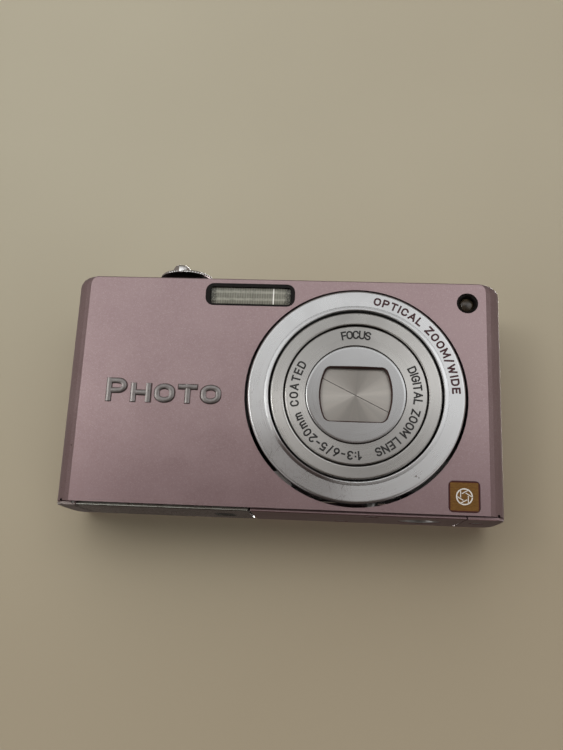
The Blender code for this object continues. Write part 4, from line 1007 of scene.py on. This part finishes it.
def build_stage():
    # the table's last colour is its painted shade
    table = one_sided("table_top", (0.515, 0.480, 0.372), (0.535, 0.500, 0.388), 0.012, (0.425, 0.365, 0.265))
    ground = one_sided("floor_pale", (0.740, 0.725, 0.680), (0.780, 0.765, 0.720))
    far, behind = 900.0, 11.75
    square = ((-far, -far), (far, -far), (far, far), (-far, far))
    sheet("table_top", [(x, behind, z) for x, z in square], table)
    sheet("floor", [(x, y, 0.0) for x, y in square], ground)


LAMP_AIM = (0.0, 0.0, 0.026)
WARM, CREAM, COOL = (1.0, 0.985, 0.95), (1.0, 0.98, 0.95), (0.97, 0.98, 1.0)
ROOM_LOW, ROOM_HIGH = (0.38, 0.350, 0.33), (1.32, 1.31, 1.30)  # ahead, low and high
ROOM_RISE = (0.06, 0.40)  # between these elevations
ROOM_ROUND, ROOM_ABOVE = (0.22, 0.185, 0.162), (0.17, 0.152, 0.135)  # to the sides and behind, and overhead
ROOM_BELOW, ROOM_BESIDE = (0.055, 0.040, 0.032), (0.62, 0.60, 0.57)  # straight below, and below to the sides
AHEAD, OVERHEAD, UNDER = (0.45, 0.97), (0.42, 0.72), (-0.25, 0.02)  # where each begins and is complete
SIDEWAYS = (0.36, 0.58)
ONLOOKER, ONLOOKER_REACH = (-0.12, -0.985, 0.085), (0.960, 0.9985)  # a dim shape ahead and how wide it is


def lamp(name, place, size, watts, colour, shine):
    """A round area lamp aimed at the camera body; without shine it lights matt surfaces only."""
    data = bpy.data.lights.new(name, "AREA")
    data.shape = "DISK"
    data.size = size
    data.energy = watts
    data.color = colour
    obj = bpy.data.objects.new(name, data)
    obj.location = place
    obj.rotation_mode = "QUATERNION"
    obj.rotation_quaternion = (Vector(LAMP_AIM) - Vector(place)).to_track_quat("-Z", "Y")
    obj.visible_glossy = shine
    bpy.context.scene.collection.objects.link(obj)


def build_light():
    """A soft room: bright ahead and a little above, brown and dim everywhere else."""
    world = bpy.data.worlds.new("room")
    bpy.context.scene.world = world
    world.use_nodes = True
    w = Nodes(world.node_tree)
    direction = w.node("TexCoord").outputs["Generated"]
    x, y, z = w.node("SeparateXYZ", {0: direction}).outputs
    near = w.vector("DOT_PRODUCT", direction, Vector(ONLOOKER).normalized())
    ahead = w.mix(w.ramp(z, *ROOM_RISE), ROOM_LOW, ROOM_HIGH)
    ahead = w.mix(w.ramp(near, *ONLOOKER_REACH), ahead, ROOM_ROUND)
    overhead = w.ramp(z, *OVERHEAD)
    around = w.mix(overhead, ROOM_ROUND, ROOM_ABOVE)
    ahead = w.mix(overhead, ahead, ROOM_ABOVE)
    room = w.mix(w.ramp(w.times(y, -1.0), *AHEAD), around, ahead)
    below = w.mix(w.ramp(w.math("ABSOLUTE", x), *SIDEWAYS), ROOM_BELOW, ROOM_BESIDE)
    room = w.mix(w.ramp(z, *UNDER), below, room)
    glow = w.node("Background", {"Color": room, "Strength": 1.0}).outputs[0]
    w.node("OutputWorld", {"Surface": glow})

    for name, place, size, watts, colour, shine in (
            ("window", (-0.66, -1.01, 0.20), 0.34, 1.2, WARM, True),
            ("doorway", (0.60, -1.00, 0.30), 0.7, 0.6, COOL, True),
            ("key", (-0.30, -1.02, 0.82), 2.2, 11.5, WARM, False),
            ("rear", (0.10, 1.15, 0.45), 0.9, 14.0, CREAM, True),
            ("left", (-1.20, 0.10, 0.40), 0.6, 1.3, CREAM, False),
            ("right", (1.20, 0.10, 0.40), 0.6, 1.0, COOL, False)):
        lamp(name, place, size, watts, colour, shine)


def build_camera():
    """The photograph's view, from ahead and below."""
    data = bpy.data.cameras.new("camera")
    data.lens, data.sensor_width = 38.23, 36.0
    data.clip_start, data.clip_end = 0.005, 20.0
    camera = bpy.data.objects.new("camera", data)
    ahead = Vector((-0.05829, 0.96606, 0.25168)).normalized()
    upward = Vector((-0.02856, -0.25361, 0.96688))
    right = ahead.cross(upward).normalized()
    upward = right.cross(ahead)
    turn = Matrix((right, upward, -ahead)).transposed().to_4x4()
    place = (0.01003, -0.17925, -0.01421)
    camera.matrix_world = Matrix.Translation(place) @ turn
    bpy.context.scene.collection.objects.link(camera)
    bpy.context.scene.camera = camera


lens_pieces()
lens_lettering()
front_pieces()
top_pieces()
back_pieces()
underside_pieces()
build_stage()
build_light()
build_camera()
bpy.context.scene.view_settings.view_transform = "Standard"
